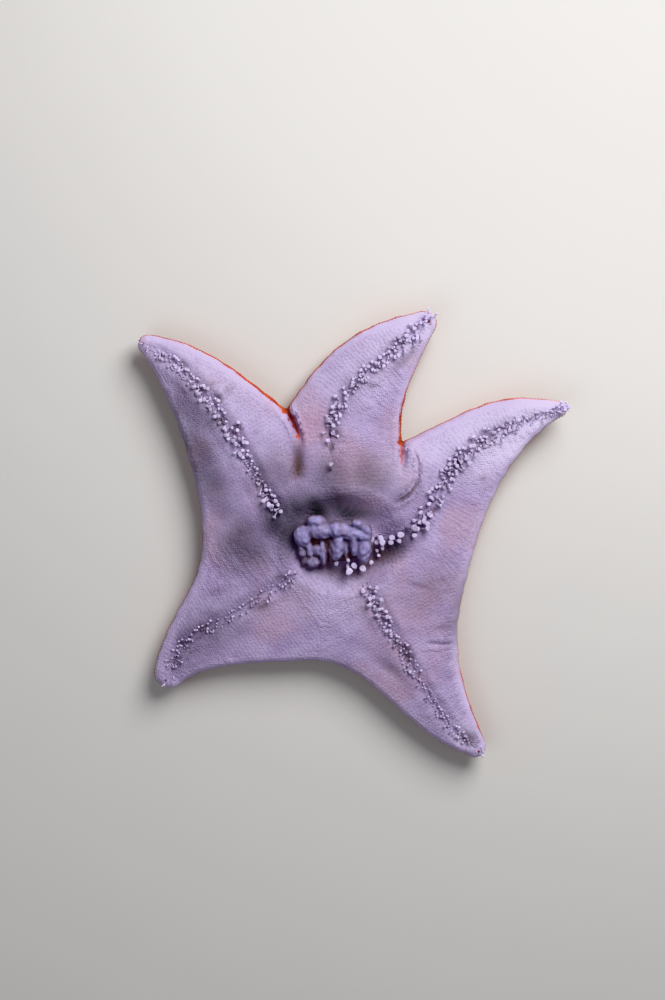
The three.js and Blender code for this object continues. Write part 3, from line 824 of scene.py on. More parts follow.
def makeSkin():
    points, faces, onBack, count = [], [], [], 0
    for level, columns, facing in (("oral", skin["oralColumns"], 1), ("aboral", skin["backColumns"], -1)):
        shares = columnShares(columns)
        for half in halves:
            plan = layRows(half, shares)
            onMargin = np.zeros(plan.shape, bool)
            onMargin[:, -1] = True
            section = bodyAt(plan.ravel(), onMargin.ravel())
            height = np.where(onMargin.ravel(), section["widest"], section[level])
            points.append(np.c_[plan.real.ravel(), plan.imag.ravel(), height])
            index = np.arange(plan.size).reshape(plan.shape) + count
            a, b, c, d = index[:-1, :-1], index[1:, :-1], index[1:, 1:], index[:-1, 1:]
            turned = facing * half["side"] > 0
            quads = (a, b, c, d) if turned else (a, d, c, b)
            faces.append(np.stack([quads[0], quads[1], quads[2]], axis=-1).reshape(-1, 3))
            faces.append(np.stack([quads[0], quads[2], quads[3]], axis=-1).reshape(-1, 3))
            onBack.append(np.where(onMargin.ravel(), 0.5, 0.0 if level == "oral" else 1.0))
            count += plan.size
    points, faces, onBack = np.concatenate(points), np.concatenate(faces), np.concatenate(onBack)
    _, first, merged = np.unique(np.round(points, 3), axis=0, return_index=True, return_inverse=True)
    points, onBack = points[first], onBack[first]
    faces = merged.reshape(-1)[faces]
    whole = (faces[:, 0] != faces[:, 1]) & (faces[:, 1] != faces[:, 2]) & (faces[:, 2] != faces[:, 0])
    faces = faces[whole]
    for _ in range(skin["refineTimes"]):
        points, faces, onBack = refineFolds(points, faces, onBack)
    print("skin triangles", len(faces))
    normals = vertexNormals(points, faces)
    depth = bodyAt(points[:, 0] + 1j * points[:, 1])["depth"]
    points = points - normals * depth[:, None]
    points[:, 2] = np.maximum(points[:, 2], skin["overFloor"])
    plan = points[:, 0] + 1j * points[:, 1]
    section = bodyAt(plan)
    back = np.maximum(backShare(plan, points[:, 2], section), onBack > 0.7)
    upward = normals[:, 2] > 0
    piece = makePiece("bodySkin", points, faces, {
        "back": back, "deep": section["deep"] * upward, "shade": section["shade"] * upward,
        "paleAndLit": paleAndLitShare(section, plan), "tone": np.zeros(len(points)),
    })
    piece.data.materials.append(skinMaterial)
    flesh = ["disc"] + [kind + arm["name"] for arm in arms for kind in ("arm_", "tip_")]
    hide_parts(*flesh)
    return piece


# How far a place is orange back rather than lilac mouth side: by how high it lies on the round edge, and by
# the pinched webs, into which the orange runs.
def backShare(plan, height, section):
    rise = (height - section["widest"]) / (body["rim"] * section["edge"])
    limit = np.zeros(len(plan))
    near = section["toMargin"] < 2
    away = np.array([distanceTo(plan[near], half["path"]) for half in halves])
    own = away.argmin(axis=0)
    redAtGap = np.array([half["red"][0] for half in halves])[own]
    redAtTip = np.array([half["red"][1] for half in halves])[own]
    gapOf = np.array([half["gap"]["point"] for half in halves])[own]
    tipOf = np.array([half["arm"]["tip"] for half in halves])[own]
    share = np.clip(np.abs(plan[near] - gapOf) / np.abs(tipOf - gapOf), 0, 1)
    limit[near] = redAtGap + (redAtTip - redAtGap) * stepBetween(0.2, 0.8, share)
    limit = np.maximum(limit, -0.2) + 0.08 * ripple(plan.real, plan.imag, *patterns["orange"])
    over = 1 - stepBetween(-0.12, 0.12, rise - limit)
    nearEdge = (section["toMargin"] < 1.6) | (height < section["widest"] - 0.5)
    sunk = (section["toMargin"] >= 1.6) & (height > section["aboral"] + 2)
    inWeb = (section["red"] + section["blush"]) * (rise > -0.5)
    return np.clip(np.maximum(over * nearEdge * ~sunk, inWeb), 0, 1)


# Painted light: the brighter stretches of the arms' upper sides and tips, where the light falls. Each gives
# place, half length, half width, turn and strength.
paintedLight = [
    (-34 + 49j, 26, 8, -44, 0.36), (-50 + 54.5j, 9, 6, -25, 0.25), (12 + 55j, 24, 9, 47, 0.4),
    (22.5 + 60.5j, 11, 8, 45, 0.75), (42 + 34j, 26, 7, 24, 0.65), (56 + 37j, 15, 7, 14, 1.0),
    (48 + 28j, 14, 5.5, 25, 0.95), (0 - 17j, 12, 6, 0, 0.25), (37 - 56j, 7, 5, -50, 0.45),
]


# How pale a place of the mouth side is: paler along the margins, and brightened with painted light on the
# upper sides and tips of the arms.
def paleAndLitShare(section, plan):
    band = 1 - stepBetween(1.0, 3.8, section["toMargin"])
    share = (0.18 + 0.2 * stepBetween(25, 60, section["fromMouth"])) * band
    for place, halfLong, halfWide, turn, strength in paintedLight:
        spot = np.exp(-inSpot(plan, place, halfLong, halfWide, turn))
        share = np.maximum(share, strength * spot)
    return share


makeSkin()
print("skin laid")

# The coat: plates in rows that run from every furrow out to the margin, each bearing a comb of spinelets.
# The gap between rows, as a share of rowPitch, says where every second one stops and where more are added.
plates = {
    "rowPitch": 1.04, "pitch": 1.02, "first": 0.6, "jitter": 0.16, "fromMargin": 2.1,
    "noRoom": 0.3, "crowded": 0.68, "loose": 1.38, "wide": 2.7, "outsideHollow": 0.34,
    "overFloor": 0.02,
    "rimPitch": 0.8, "rimAngles": (10, 26, 42, 58, 74), "backPitch": 1.55, "backRimAngles": (-12, -38, -66),
    "spinelet": [(0.2, -0.14), (0.215, 0.085), (0, 0.15)],
    "combPad": [(0.86, -0.1), (0.5, 0.068), (0, 0.118)],
    "crescentPad": [(0.72, -0.1), (0.6, 0.06), (0, 0.11)],
    "granule": [(0.2, -0.1), (0.2, 0.17), (0, 0.31)],
}


def combSolid(seed, count, spread, stretch, lean):
    pick = np.random.default_rng(seed)
    parts = []
    for i in range(count):
        turn = (i + pick.uniform(-0.2, 0.2)) * 2 * np.pi / (count - 1) if i else 0
        out = np.array([np.cos(turn), stretch * np.sin(turn)]) * (pick.uniform(0.9, 1.1) if i else 0.1)
        shape, faces, tall = latheSolid(plates["spinelet"], 5)
        axes = axesAlong([*(lean * out + pick.uniform(-0.1, 0.1, 2)), 1])
        parts.append((shape * pick.uniform(0.88, 1.1) @ axes + [*(spread * out), 0], faces, tall))
    pad, padFaces, padTall = latheSolid(plates["combPad"], 7)
    parts.append((pad * [1.0, stretch, 1.0], padFaces, padTall * 0.0))
    points, faces, tall = joinSolids(parts)
    return points * [1, 1, 0.8], faces, tall


def crescentSolid(seed, count):
    pick = np.random.default_rng(seed)
    parts = []
    for i in range(count):
        turn = np.radians(-70 + 140 * i / (count - 1))
        shape, faces, tall = latheSolid(plates["granule"], 5)
        foot = np.array([0.62 * np.sin(turn), 0.5 - 0.62 * np.cos(turn), 0])
        foot = foot + [0, pick.uniform(-0.06, 0.06), 0]
        parts.append((shape * pick.uniform(0.85, 1.15) + foot, faces, tall))
    pad, padFaces, padTall = latheSolid(plates["crescentPad"], 6)
    parts.append((pad * [1.0, 0.75, 1.0] + [0, 0.1, 0], padFaces, padTall * 0.0))
    return joinSolids(parts)


# Surface point, outward normal and section facts for places on one side of the body.
def surfaceAt(plan, level):
    step = 0.12
    section = bodyAt(plan)
    slopeX = (bodyAt(plan + step)[level] - bodyAt(plan - step)[level]) / (2 * step)
    slopeY = (bodyAt(plan + 1j * step)[level] - bodyAt(plan - 1j * step)[level]) / (2 * step)
    facing = 1 if level == "oral" else -1
    normals = np.c_[-slopeX * facing, -slopeY * facing, np.full(len(plan), float(facing))]
    normals /= np.linalg.norm(normals, axis=1, keepdims=True)
    return np.c_[plan.real, plan.imag, section[level]], normals, section


# Places on the round edge, at an angle above or below its widest line.
def edgePlaces(half, angle, spacing, start):
    plan, along, _ = evenly(half["path"], spacing, start)
    inward = along * (-1j if half["side"] > 0 else 1j)
    section = bodyAt(plan)
    cosine, sine = np.cos(np.radians(angle)), np.sin(np.radians(angle))
    inset = body["edgeRound"] * (1 - cosine)
    rise = (body["rim"] if angle > 0 else body["keel"]) * section["edge"]
    plan = plan + inward * inset
    section = bodyAt(plan)
    outX = -inward.real * cosine / body["edgeRound"]
    outY = -inward.imag * cosine / body["edgeRound"]
    normals = np.c_[outX, outY, sine / rise]
    normals /= np.linalg.norm(normals, axis=1, keepdims=True)
    level = "oral" if angle > 0 else "aboral"
    keep = np.abs(section["toMargin"] - inset) < 0.25
    points = np.c_[plan.real, plan.imag, section[level]]
    leads = np.c_[along.real, along.imag, np.zeros(len(plan))]
    return points[keep], normals[keep], leads[keep], plan[keep]


def framesFor(normals, leads):
    side = leads - (leads * normals).sum(axis=1, keepdims=True) * normals
    side /= np.maximum(np.linalg.norm(side, axis=1, keepdims=True), 1e-9)
    return np.stack([side, np.cross(normals, side), normals], axis=1)


# Rows out from the furrow on one side of an arm, thinned where they crowd and doubled where they spread.
def rowPlaces(half, rowPitch, pitch, first, level):
    arm = half["arm"]
    stations, along, _ = evenly(arm["path"], rowPitch / 4, 0.4)
    across = along * 1j * half["side"]
    ranks = np.arange(46)
    covered = 1 - stepBetween(2, 5, np.abs(stations) - arm["grooveFrom"]) * (level == "oral")
    aside = first - (first - 0.3) * covered
    aside = aside[:, None] + (ranks[None] + 0.5 * (np.arange(len(stations)) // 4 % 2)[:, None]) * pitch
    plan = stations[:, None] + across[:, None] * aside
    gap = np.abs(np.gradient(plan, axis=0)) / (rowPitch / 4)
    row = np.arange(len(stations))[:, None] + 0 * ranks[None]
    keep = (row % 4 == 0) | ((row % 2 == 0) & (gap > plates["loose"])) | (gap > plates["wide"])
    keep &= (gap > plates["crowded"]) | (row % 8 == 0)
    keep &= gap > plates["noRoom"]
    spreads = [gap > plates[spread] for spread in ("wide", "loose", "crowded")]
    room = gap * np.select(spreads, (0.25, 0.5, 1.0), 2.0)
    leads = np.broadcast_to(across[:, None], plan.shape)
    plan, aside, leads, room = plan[keep], aside[keep], leads[keep], room[keep]
    plan = plan + plates["jitter"] * (rng.normal(size=len(plan)) + 1j * rng.normal(size=len(plan)))
    near = isInside(plan)
    plan, aside, leads, room = plan[near], aside[near], leads[near], room[near]
    section = bodyAt(plan)
    own = section["toFurrows"].argmin(axis=0) == half["index"]
    own &= np.abs(section["nearest"] - aside) < 0.4
    own &= section["toMargin"] > plates["fromMargin"]
    return plan[own], leads[own], np.clip(room[own], 0.8, 1.35) ** 0.8


# Rings of plates round the end of the furrow, where the rows stop.
def tipPlaces(half, pitch, first):
    arm = half["arm"]
    plan = []
    for ring in np.arange(first, arm["tipRadius"] + 4, pitch):
        count = max(2, int(np.pi / 2 * ring / pitch))
        turn = arm["tipBearing"] + half["side"] * (np.arange(count) + 0.5) / count * 90
        plan.append(arm["tip"] + polar(ring, turn))
    plan = np.concatenate(plan)
    plan = plan[isInside(plan)]
    section = bodyAt(plan)
    plan = plan[section["toMargin"] > plates["fromMargin"]]
    return plan, (plan - arm["tip"]) / np.abs(plan - arm["tip"])


def layCoat(name, places, normals, leads, plan, level, solids, sizes, sink=0.03):
    section = bodyAt(plan)
    roots = places - normals * (section["depth"] + sink)[:, None]
    picks = rng.integers(0, len(solids), len(plan))
    frames = framesFor(normals, leads)
    points, faces, tall, owner, bake = setMany(solids, roots, frames, sizes, picks, unwrapAt(plan, level))
    points[:, 2] = np.maximum(points[:, 2], plates["overFloor"])
    back = backShare(plan, places[:, 2], section) if level == "oral" else np.ones(len(plan))
    tone = np.clip(rng.normal(0, 0.35, len(plan)), -1, 1)
    mouthSide = level == "oral"
    piece = makePiece(name, points, faces, {
        "back": back[owner],
        "deep": section["deep"][owner] * mouthSide, "shade": section["shade"][owner] * mouthSide,
        "paleAndLit": paleAndLitShare(section, plan)[owner], "tone": tone[owner], "tall": tall,
    }, bake)
    piece.data.materials.append(coatMaterial)
    return piece


def makeCoat():
    combs = [combSolid(seed, 5, 0.36, 0.95, 0.15) for seed in (1, 2, 3)]
    combs.append(combSolid(4, 6, 0.38, 0.95, 0.15))
    crescents = [crescentSolid(seed, count) for seed, count in ((5, 5), (6, 4), (7, 5))]
    for half in halves:
        plan, across, room = rowPlaces(half, plates["rowPitch"], plates["pitch"], plates["first"], "oral")
        tipPlan, tipAcross = tipPlaces(half, plates["pitch"], 1.0)
        plan, across = np.append(plan, tipPlan), np.append(across, tipAcross)
        room = np.append(room, np.ones(len(tipPlan)))
        outside = np.hypot(
            (plan - body["hollowCentre"]).real / body["hollowHalf"][0],
            (plan - body["hollowCentre"]).imag / body["hollowHalf"][1],
        ) > plates["outsideHollow"]
        plan, across, room = plan[outside], across[outside], room[outside]
        places, normals, _ = surfaceAt(plan, "oral")
        leads = np.c_[across.real, across.imag, np.zeros(len(plan))]
        sizes = room * rng.uniform(0.94, 1.08, len(plan))
        rings = [(places, normals, leads, plan, sizes)]
        for i, angle in enumerate(plates["rimAngles"]):
            start = plates["rimPitch"] * (0.25 + 0.5 * (i % 2))
            edge = edgePlaces(half, angle, plates["rimPitch"], start)
            rings.append((*edge, rng.uniform(0.66, 0.78, len(edge[3]))))
        joined = [np.concatenate([ring[k] for ring in rings]) for k in range(5)]
        word = half["arm"]["name"] + ("_left" if half["side"] > 0 else "_right")
        layCoat("combs_" + word, *joined[:4], "oral", combs, joined[4])
        pitch = plates["backPitch"]
        backPlan, backAcross, _ = rowPlaces(half, pitch, pitch * 0.86, 0.5, "aboral")
        tipPlan, tipAcross = tipPlaces(half, pitch, 0.6)
        backPlan, backAcross = np.append(backPlan, tipPlan), np.append(backAcross, tipAcross)
        places, normals, _ = surfaceAt(backPlan, "aboral")
        leads = np.c_[backAcross.imag, -backAcross.real, np.zeros(len(backPlan))]
        rings = [(places, normals, leads, backPlan, rng.uniform(0.85, 1.1, len(backPlan)))]
        for i, angle in enumerate(plates["backRimAngles"]):
            start = plates["rimPitch"] * (0.25 + 0.5 * (i % 2))
            edge = edgePlaces(half, angle, plates["rimPitch"] * 1.25, start)
            rings.append((*edge, rng.uniform(0.75, 0.9, len(edge[3]))))
        joined = [np.concatenate([ring[k] for ring in rings]) for k in range(5)]
        layCoat("crescents_" + word, *joined[:4], "aboral", crescents, joined[4])


makeCoat()
print("coat laid")

# Tube feet: two lines along each furrow. Each kind is a profile, its bend, its lumps and its seed. Each
# stretch gives the two shares of the furrow between which they stand, how many stand there of those that
# could, their size and how widely they spread.
feet = {
    "pitch": 0.66, "aside": 0.7, "sink": 0.5, "size": 1.24, "lean": (-0.1, 0.9),
    "kinds": [("long", 0.16, 0.22, 41), ("long", 0.05, 0.25, 42), ("short", 0.1, 0.25, 43),
              ("ball", 0.0, 0.3, 44)],
    "shares": (0.3, 0.25, 0.3, 0.15),
    "long": [(0.26, -1.0), (0.28, 0.6), (0.27, 1.5), (0.34, 1.85), (0.54, 2.02), (0.62, 2.2), (0.5, 2.34),
             (0.2, 2.28), (0, 2.24)],
    "short": [(0.3, -0.7), (0.34, 0.5), (0.38, 1.05), (0.54, 1.3), (0.62, 1.5), (0.5, 1.66), (0.22, 1.6),
              (0, 1.56)],
    "ball": [(0.3, -0.6), (0.42, 0.6), (0.56, 1.0), (0.58, 1.3), (0.4, 1.55), (0, 1.64)],
    "stretches": {
        "upper_left": [
            (0.24, 0.34, 0.85, 0.8, 1.1), (0.34, 0.46, 0.45, 0.5, 0.9), (0.46, 0.6, 0.8, 0.75, 1.5),
            (0.6, 0.68, 0.5, 0.6, 1.1), (0.68, 0.8, 0.9, 0.65, 1.3), (0.8, 0.96, 0.9, 0.5, 1.0),
        ],
        "upper_middle": [
            (0.4, 0.5, 0.6, 0.75, 1.3), (0.5, 0.6, 0.8, 0.75, 1.1), (0.6, 0.7, 0.75, 0.65, 0.9),
            (0.7, 0.84, 0.9, 0.7, 0.9), (0.84, 0.97, 1.0, 0.7, 1.6),
        ],
        "right": [
            (0.31, 0.4, 0.6, 0.8, 1.2), (0.4, 0.5, 0.7, 0.65, 1.4), (0.5, 0.68, 0.9, 0.7, 1.5),
            (0.68, 0.86, 1.0, 0.6, 1.7), (0.86, 1.0, 1.0, 0.45, 1.1),
        ],
        "lower_right": [
            (0.2, 0.34, 0.8, 0.75, 0.9), (0.34, 0.6, 0.8, 0.55, 1.6), (0.6, 0.78, 0.7, 0.42, 1.5),
            (0.78, 0.96, 0.8, 0.5, 1.0),
        ],
        "lower_left": [
            (0.22, 0.45, 0.65, 0.45, 1.5), (0.45, 0.74, 0.6, 0.4, 1.3), (0.74, 0.96, 0.7, 0.45, 1.3),
        ],
    },
}


# Feet set one by one round the mouth: place, size and how far they stand up from the hollow.
mouthFeet = [
    (9.8 + 1.7j, 1.25, 1.2), (11.6 + 1.9j, 1.3, 0.8), (12.9 + 0.7j, 1.45, 0.6),
    (11.1 + 0.5j, 1.15, 0.8), (12.3 - 0.9j, 1.0, 0.4), (15.5 + 2.1j, 1.4, 0.2),
    (15.2 + 0.7j, 1.25, 0.2), (16.6 + 1.3j, 1.1, 0), (17.5 + 3.1j, 1.6, 0), (19.8 + 5.1j, 1.6, 0),
    (21.8 + 4.8j, 1.25, 0), (24 + 4.9j, 1.35, 0), (21.6 + 3.2j, 1.2, 0), (23.3 + 6.9j, 1.3, 0),
    (25.1 + 6.4j, 1.2, 0), (25.6 + 8.4j, 1.1, 0), (10.9 - 1.7j, 0.8, 0.6), (11.8 - 3.2j, 0.8, 0.3),
    (9.8 - 5.0j, 1.0, 0.8), (0.2 - 4.8j, 1.1, 2.2), (3.2 - 5.9j, 1.6, 2.0), (4.9 - 5.4j, 1.45, 2.0),
    (3.4 - 3.9j, 0.9, 2.9), (7.3 - 6.4j, 1.6, 1.4), (-1.2 + 21.6j, 1.1, 0),
]


def bentSolid(profile, sides, bend, lumps=0.0, seed=0):
    shape, faces, tall = latheSolid(profile, sides)
    shape = shape.copy()
    swell = 1 + lumps * ripple(shape[:, 0] + shape[:, 2], shape[:, 1] - shape[:, 2], 1.6, seed)
    shape[:, :2] *= swell[:, None]
    shape[:, 0] += bend * np.maximum(0, shape[:, 2]) ** 2
    return shape, faces, tall


def makeFeet():
    solids = [bentSolid(feet[kind], 12, *rest) for kind, *rest in feet["kinds"]]
    for arm in arms:
        stations, along, share = evenly(arm["path"], feet["pitch"], 1.0)
        plan, leads, sizes, raised = [], [], [], []
        for low, high, fullness, size, width in feet["stretches"][arm["name"]]:
            for side in (1, -1):
                here = np.flatnonzero((share >= low) & (share < high))
                here = here[rng.random(len(here)) < fullness]
                slip = rng.uniform(-0.3, 0.3, len(here)) + side * 0.3
                aside = feet["aside"] * width * rng.uniform(-0.3, 1.7, len(here))
                plan.append(stations[here] + along[here] * (slip + side * 1j * aside))
                leads.append(along[here] * side * 1j + rng.normal(0, 0.4, len(here)) * along[here])
                sizes.append(feet["size"] * size * rng.uniform(0.65, 1.15, len(here)))
                raised.append(np.zeros(len(here)))
        if arm["name"] == "right":
            plan.append(np.array([place for place, _, _ in mouthFeet]))
            leads.append(plan[-1] / np.abs(plan[-1]))
            sizes.append(np.array([size for _, size, _ in mouthFeet]))
            raised.append(np.array([rise for _, _, rise in mouthFeet]))
        plan, leads, sizes, raised = (np.concatenate(part) for part in (plan, leads, sizes, raised))
        places, normals, _ = surfaceAt(plan, "oral")
        places[:, 2] += raised
        flat = np.c_[leads.real, leads.imag, np.zeros(len(plan))]
        lean = rng.uniform(*feet["lean"], len(plan)) * (raised == 0)
        normals = normals * [0.2, 0.2, 1] + flat * lean[:, None]
        normals /= np.linalg.norm(normals, axis=1, keepdims=True)
        picks = rng.choice(4, len(plan), p=feet["shares"])
        roots = places - normals * feet["sink"]
        points, faces, tall, owner, bake = setMany(
            solids, roots, framesFor(normals, flat), sizes, picks, unwrapAt(plan, "oral"))
        tone = np.clip(rng.normal(0, 0.55, len(plan)), -1, 1)
        facts = {"tone": tone[owner], "tall": tall}
        piece = makePiece("tubeFeet_" + arm["name"], points, faces, facts, bake)
        piece.data.materials.append(footMaterial)


makeFeet()
print("tube feet set")

# The combs of longer spines that lean over the furrow from both its banks.
furrowSpines = {
    "pitch": 0.8, "aside": 0.6, "lean": (0.0, 0.9),
    "profile": [(0.17, -0.3), (0.17, 0.34), (0, 0.5)],
}


def makeFurrowSpines():
    solids = []
    for seed in (11, 12, 13):
        pick = np.random.default_rng(seed)
        parts = []
        for share in (-1, 0, 1):
            shape, faces, tall = latheSolid(furrowSpines["profile"], 5)
            axes = axesAlong([pick.uniform(-0.25, 0.25), 0.35 * share + pick.uniform(-0.15, 0.15), 1])
            foot = [pick.uniform(-0.2, 0.2), 0.3 * share + pick.uniform(-0.06, 0.06), 0]
            parts.append((shape * pick.uniform(0.75, 1.15) @ axes + foot, faces, tall))
        solids.append(joinSolids(parts))
    for index, arm in enumerate(arms):
        stations, along, share = evenly(arm["path"], furrowSpines["pitch"], arm["grooveFrom"] + 2)
        aside = furrowSpines["aside"] * rng.uniform(0.0, 1.6, (2, len(stations)))
        plan = np.concatenate([stations + side * 1j * along * wide for side, wide in zip((1, -1), aside)])
        inward = np.concatenate([-side * 1j * along for side in (1, -1)])
        share = np.tile(share, 2)
        keep = isInside(plan)
        plan, inward, share = plan[keep], inward[keep], share[keep]
        section = bodyAt(plan)
        keep = (section["toMargin"] > 1.2) & (section["toFurrows"].argmin(axis=0) == index)
        plan, inward, share = plan[keep], inward[keep], share[keep]
        places, normals, section = surfaceAt(plan, "oral")
        flat = np.c_[inward.real, inward.imag, np.zeros(len(plan))]
        normals = normals * [0.3, 0.3, 1] + flat * rng.uniform(*furrowSpines["lean"], (len(plan), 1))
        normals /= np.linalg.norm(normals, axis=1, keepdims=True)
        sizes = rng.uniform(0.6, 1.15, len(plan)) * (1 - 0.3 * share)
        picks = rng.integers(0, 3, len(plan))
        roots = places - normals * (body["coat"] + 0.05)
        points, faces, tall, owner, bake = setMany(
            solids, roots, framesFor(normals, flat), sizes, picks, unwrapAt(plan, "oral"))
        tone = np.clip(rng.normal(0.3, 0.7, len(plan)), -1, 1)
        piece = makePiece("furrowSpines_" + arm["name"], points, faces, {
            "back": np.zeros(len(points)),
            "deep": 0.8 * section["deep"][owner], "shade": section["shade"][owner],
            "paleAndLit": paleAndLitShare(section, plan)[owner], "tone": tone[owner], "tall": tall,
        }, bake)
        piece.data.materials.append(coatMaterial)


makeFurrowSpines()
print("furrow spines set")

# The stomach, pushed out of the mouth in soft lobes and upright folds. Each lobe is a place, its half sizes
# across, along and up, its turn in degrees and how far it is raised. Each ripple is a depth, size and seed.
stomach = {
    "voxel": 0.26, "smooth": 8, "lobesDown": 3.2, "shadeFrom": 0.8, "shadeOver": 2.7,
    "core": [(0, -3.4), (6, -3), (7.8, -1.6), (7, 0), (0, 0.7)], "coreSize": (1.22, 0.72, 1),
    "coreAt": (-0.4, 0.4), "coreDown": 4.1, "ripples": [(0.11, 1.5, 31), (0.17, 3.0, 33)],
    "lobes": [
        (-9.2 + 2.8j, 2.6, 3.1, 3.0, 8, -0.1), (-5.3 + 7.1j, 3.0, 1.6, 2.4, -3, 0.2),
        (-4.6 + 4.4j, 4.3, 2.5, 3.2, -4, -0.4), (0.8 + 4.7j, 3.4, 2.4, 3.2, -4, 0.0),
        (4.4 + 3.8j, 3.8, 2.0, 3.0, -8, -0.1), (8.0 + 3.2j, 2.3, 1.7, 2.9, -20, -0.2),
        (6.2 + 6.6j, 1.8, 1.3, 2.6, -15, 0.1), (8.6 + 4.9j, 1.9, 1.35, 2.4, -42, 0.1),
        (0.6 + 0.0j, 2.0, 4.6, 3.1, -8, -0.3), (5.1 + 0.8j, 1.25, 3.9, 2.9, 2, -0.5),
        (7.9 - 0.9j, 2.1, 4.1, 3.1, -5, -0.2), (-5.0 - 1.3j, 2.1, 1.7, 2.4, -12, -0.7),
        (-6.3 - 4.8j, 2.2, 1.8, 2.4, 12, -0.8), (-3.5 - 2.2j, 1.1, 4.1, 2.8, 5, -0.9),
        (-7.3 - 1.0j, 1.1, 3.8, 2.7, 10, -1.2), (-9.4 - 1.6j, 1.2, 2.8, 2.5, 16, -1.2),
        (-1.3 - 1.4j, 0.9, 4.0, 2.6, 0, -1.6), (3.0 - 1.0j, 0.9, 4.0, 2.6, 0, -1.5),
        (-8.6 - 4.6j, 1.1, 1.8, 2.0, -16, -1.4),
    ],
}


def makeStomach():
    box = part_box("stomach")
    top = box[1][2] / mm - mouthAt[2]
    rounds = np.linspace(-np.pi / 2, np.pi / 2, 11)
    ball = [(np.cos(a), np.sin(a)) if abs(a) < 1.57 else (0, np.sin(a)) for a in rounds]
    parts = []
    for place, across, along, up, turn, raised in stomach["lobes"]:
        shape, faces, tall = latheSolid(ball, 18)
        shape = shape * [across, along, up]
        c, s = np.cos(np.radians(turn)), np.sin(np.radians(turn))
        shape = shape @ np.array([[c, s, 0], [-s, c, 0], [0, 0, 1]])
        parts.append((shape + [place.real, place.imag, top - stomach["lobesDown"] + raised], faces, tall))
    core, coreFaces, coreTall = latheSolid(stomach["core"], 24)
    coreAt = [*stomach["coreAt"], top - stomach["coreDown"]]
    parts.append((core * stomach["coreSize"] + coreAt, coreFaces, coreTall))
    points, faces, _ = joinSolids(parts)
    rough = makePiece("stomachRough", points, faces)
    remesh = rough.modifiers.new("remesh", "REMESH")
    remesh.mode = "VOXEL"
    remesh.voxel_size = stomach["voxel"] * mm
    smooth = rough.modifiers.new("smooth", "SMOOTH")
    smooth.iterations = stomach["smooth"]
    smooth.factor = 0.5
    bpy.context.view_layer.update()
    shaped = rough.evaluated_get(bpy.context.evaluated_depsgraph_get()).to_mesh()
    shaped.calc_loop_triangles()
    made = np.zeros(len(shaped.vertices) * 3)
    shaped.vertices.foreach_get("co", made)
    made = made.reshape(-1, 3) / mm - mouthAt
    index = np.zeros(len(shaped.loop_triangles) * 3, dtype=np.int32)
    shaped.loop_triangles.foreach_get("vertices", index)
    index = index.reshape(-1, 3)
    rough.evaluated_get(bpy.context.evaluated_depsgraph_get()).to_mesh_clear()
    bpy.data.objects.remove(rough, do_unlink=True)
    normals = vertexNormals(made, index)
    x, y, z = made.T
    (fine, fineSize, fineSeed), (broad, broadSize, broadSeed) = stomach["ripples"]
    rise = fine * ripple(x + z, y - z, fineSize, fineSeed) + broad * ripple(x, y + z, broadSize, broadSeed)
    made = made + normals * rise[:, None]
    # Painted shade: the lower a place of the stomach lies, in the gaps between the lobes and on the core
    # behind them, the darker brown it is painted.
    deep = np.clip((top - stomach["shadeFrom"] - made[:, 2]) / stomach["shadeOver"], 0, 1) ** 1.5
    print("stomach top", round(top, 2), "triangles", len(index))
    piece = makePiece("stomachFolds", made, index, {"deep": deep})
    piece.data.materials.append(stomachFinish())
    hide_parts("stomach")


makeStomach()
print("stomach shaped")

# At each tip a small red eyespot sits among the last, feeler-like feet. Each arm gives how many there are,
# their size and how far they splay.
tipFeet = {
    "profile": [(0.28, -0.6), (0.27, 0.5), (0.23, 1.2), (0.25, 1.75), (0.33, 1.95), (0.2, 2.1), (0, 2.13)],
    "upper_left": (4, 0.5, 0.5), "upper_middle": (16, 1.05, 1.6), "right": (20, 1.1, 1.9),
    "lower_right": (5, 0.6, 0.5), "lower_left": (4, 0.5, 0.4),
}
eyespot = {
    "size": 0.45, "cups": 9, "cup": [(0, -0.5), (0.35, -0.35), (0.5, 0), (0.35, 0.35), (0, 0.5)],
    "cupSize": 0.75, "spread": 0.5, "sink": 0.35,
}


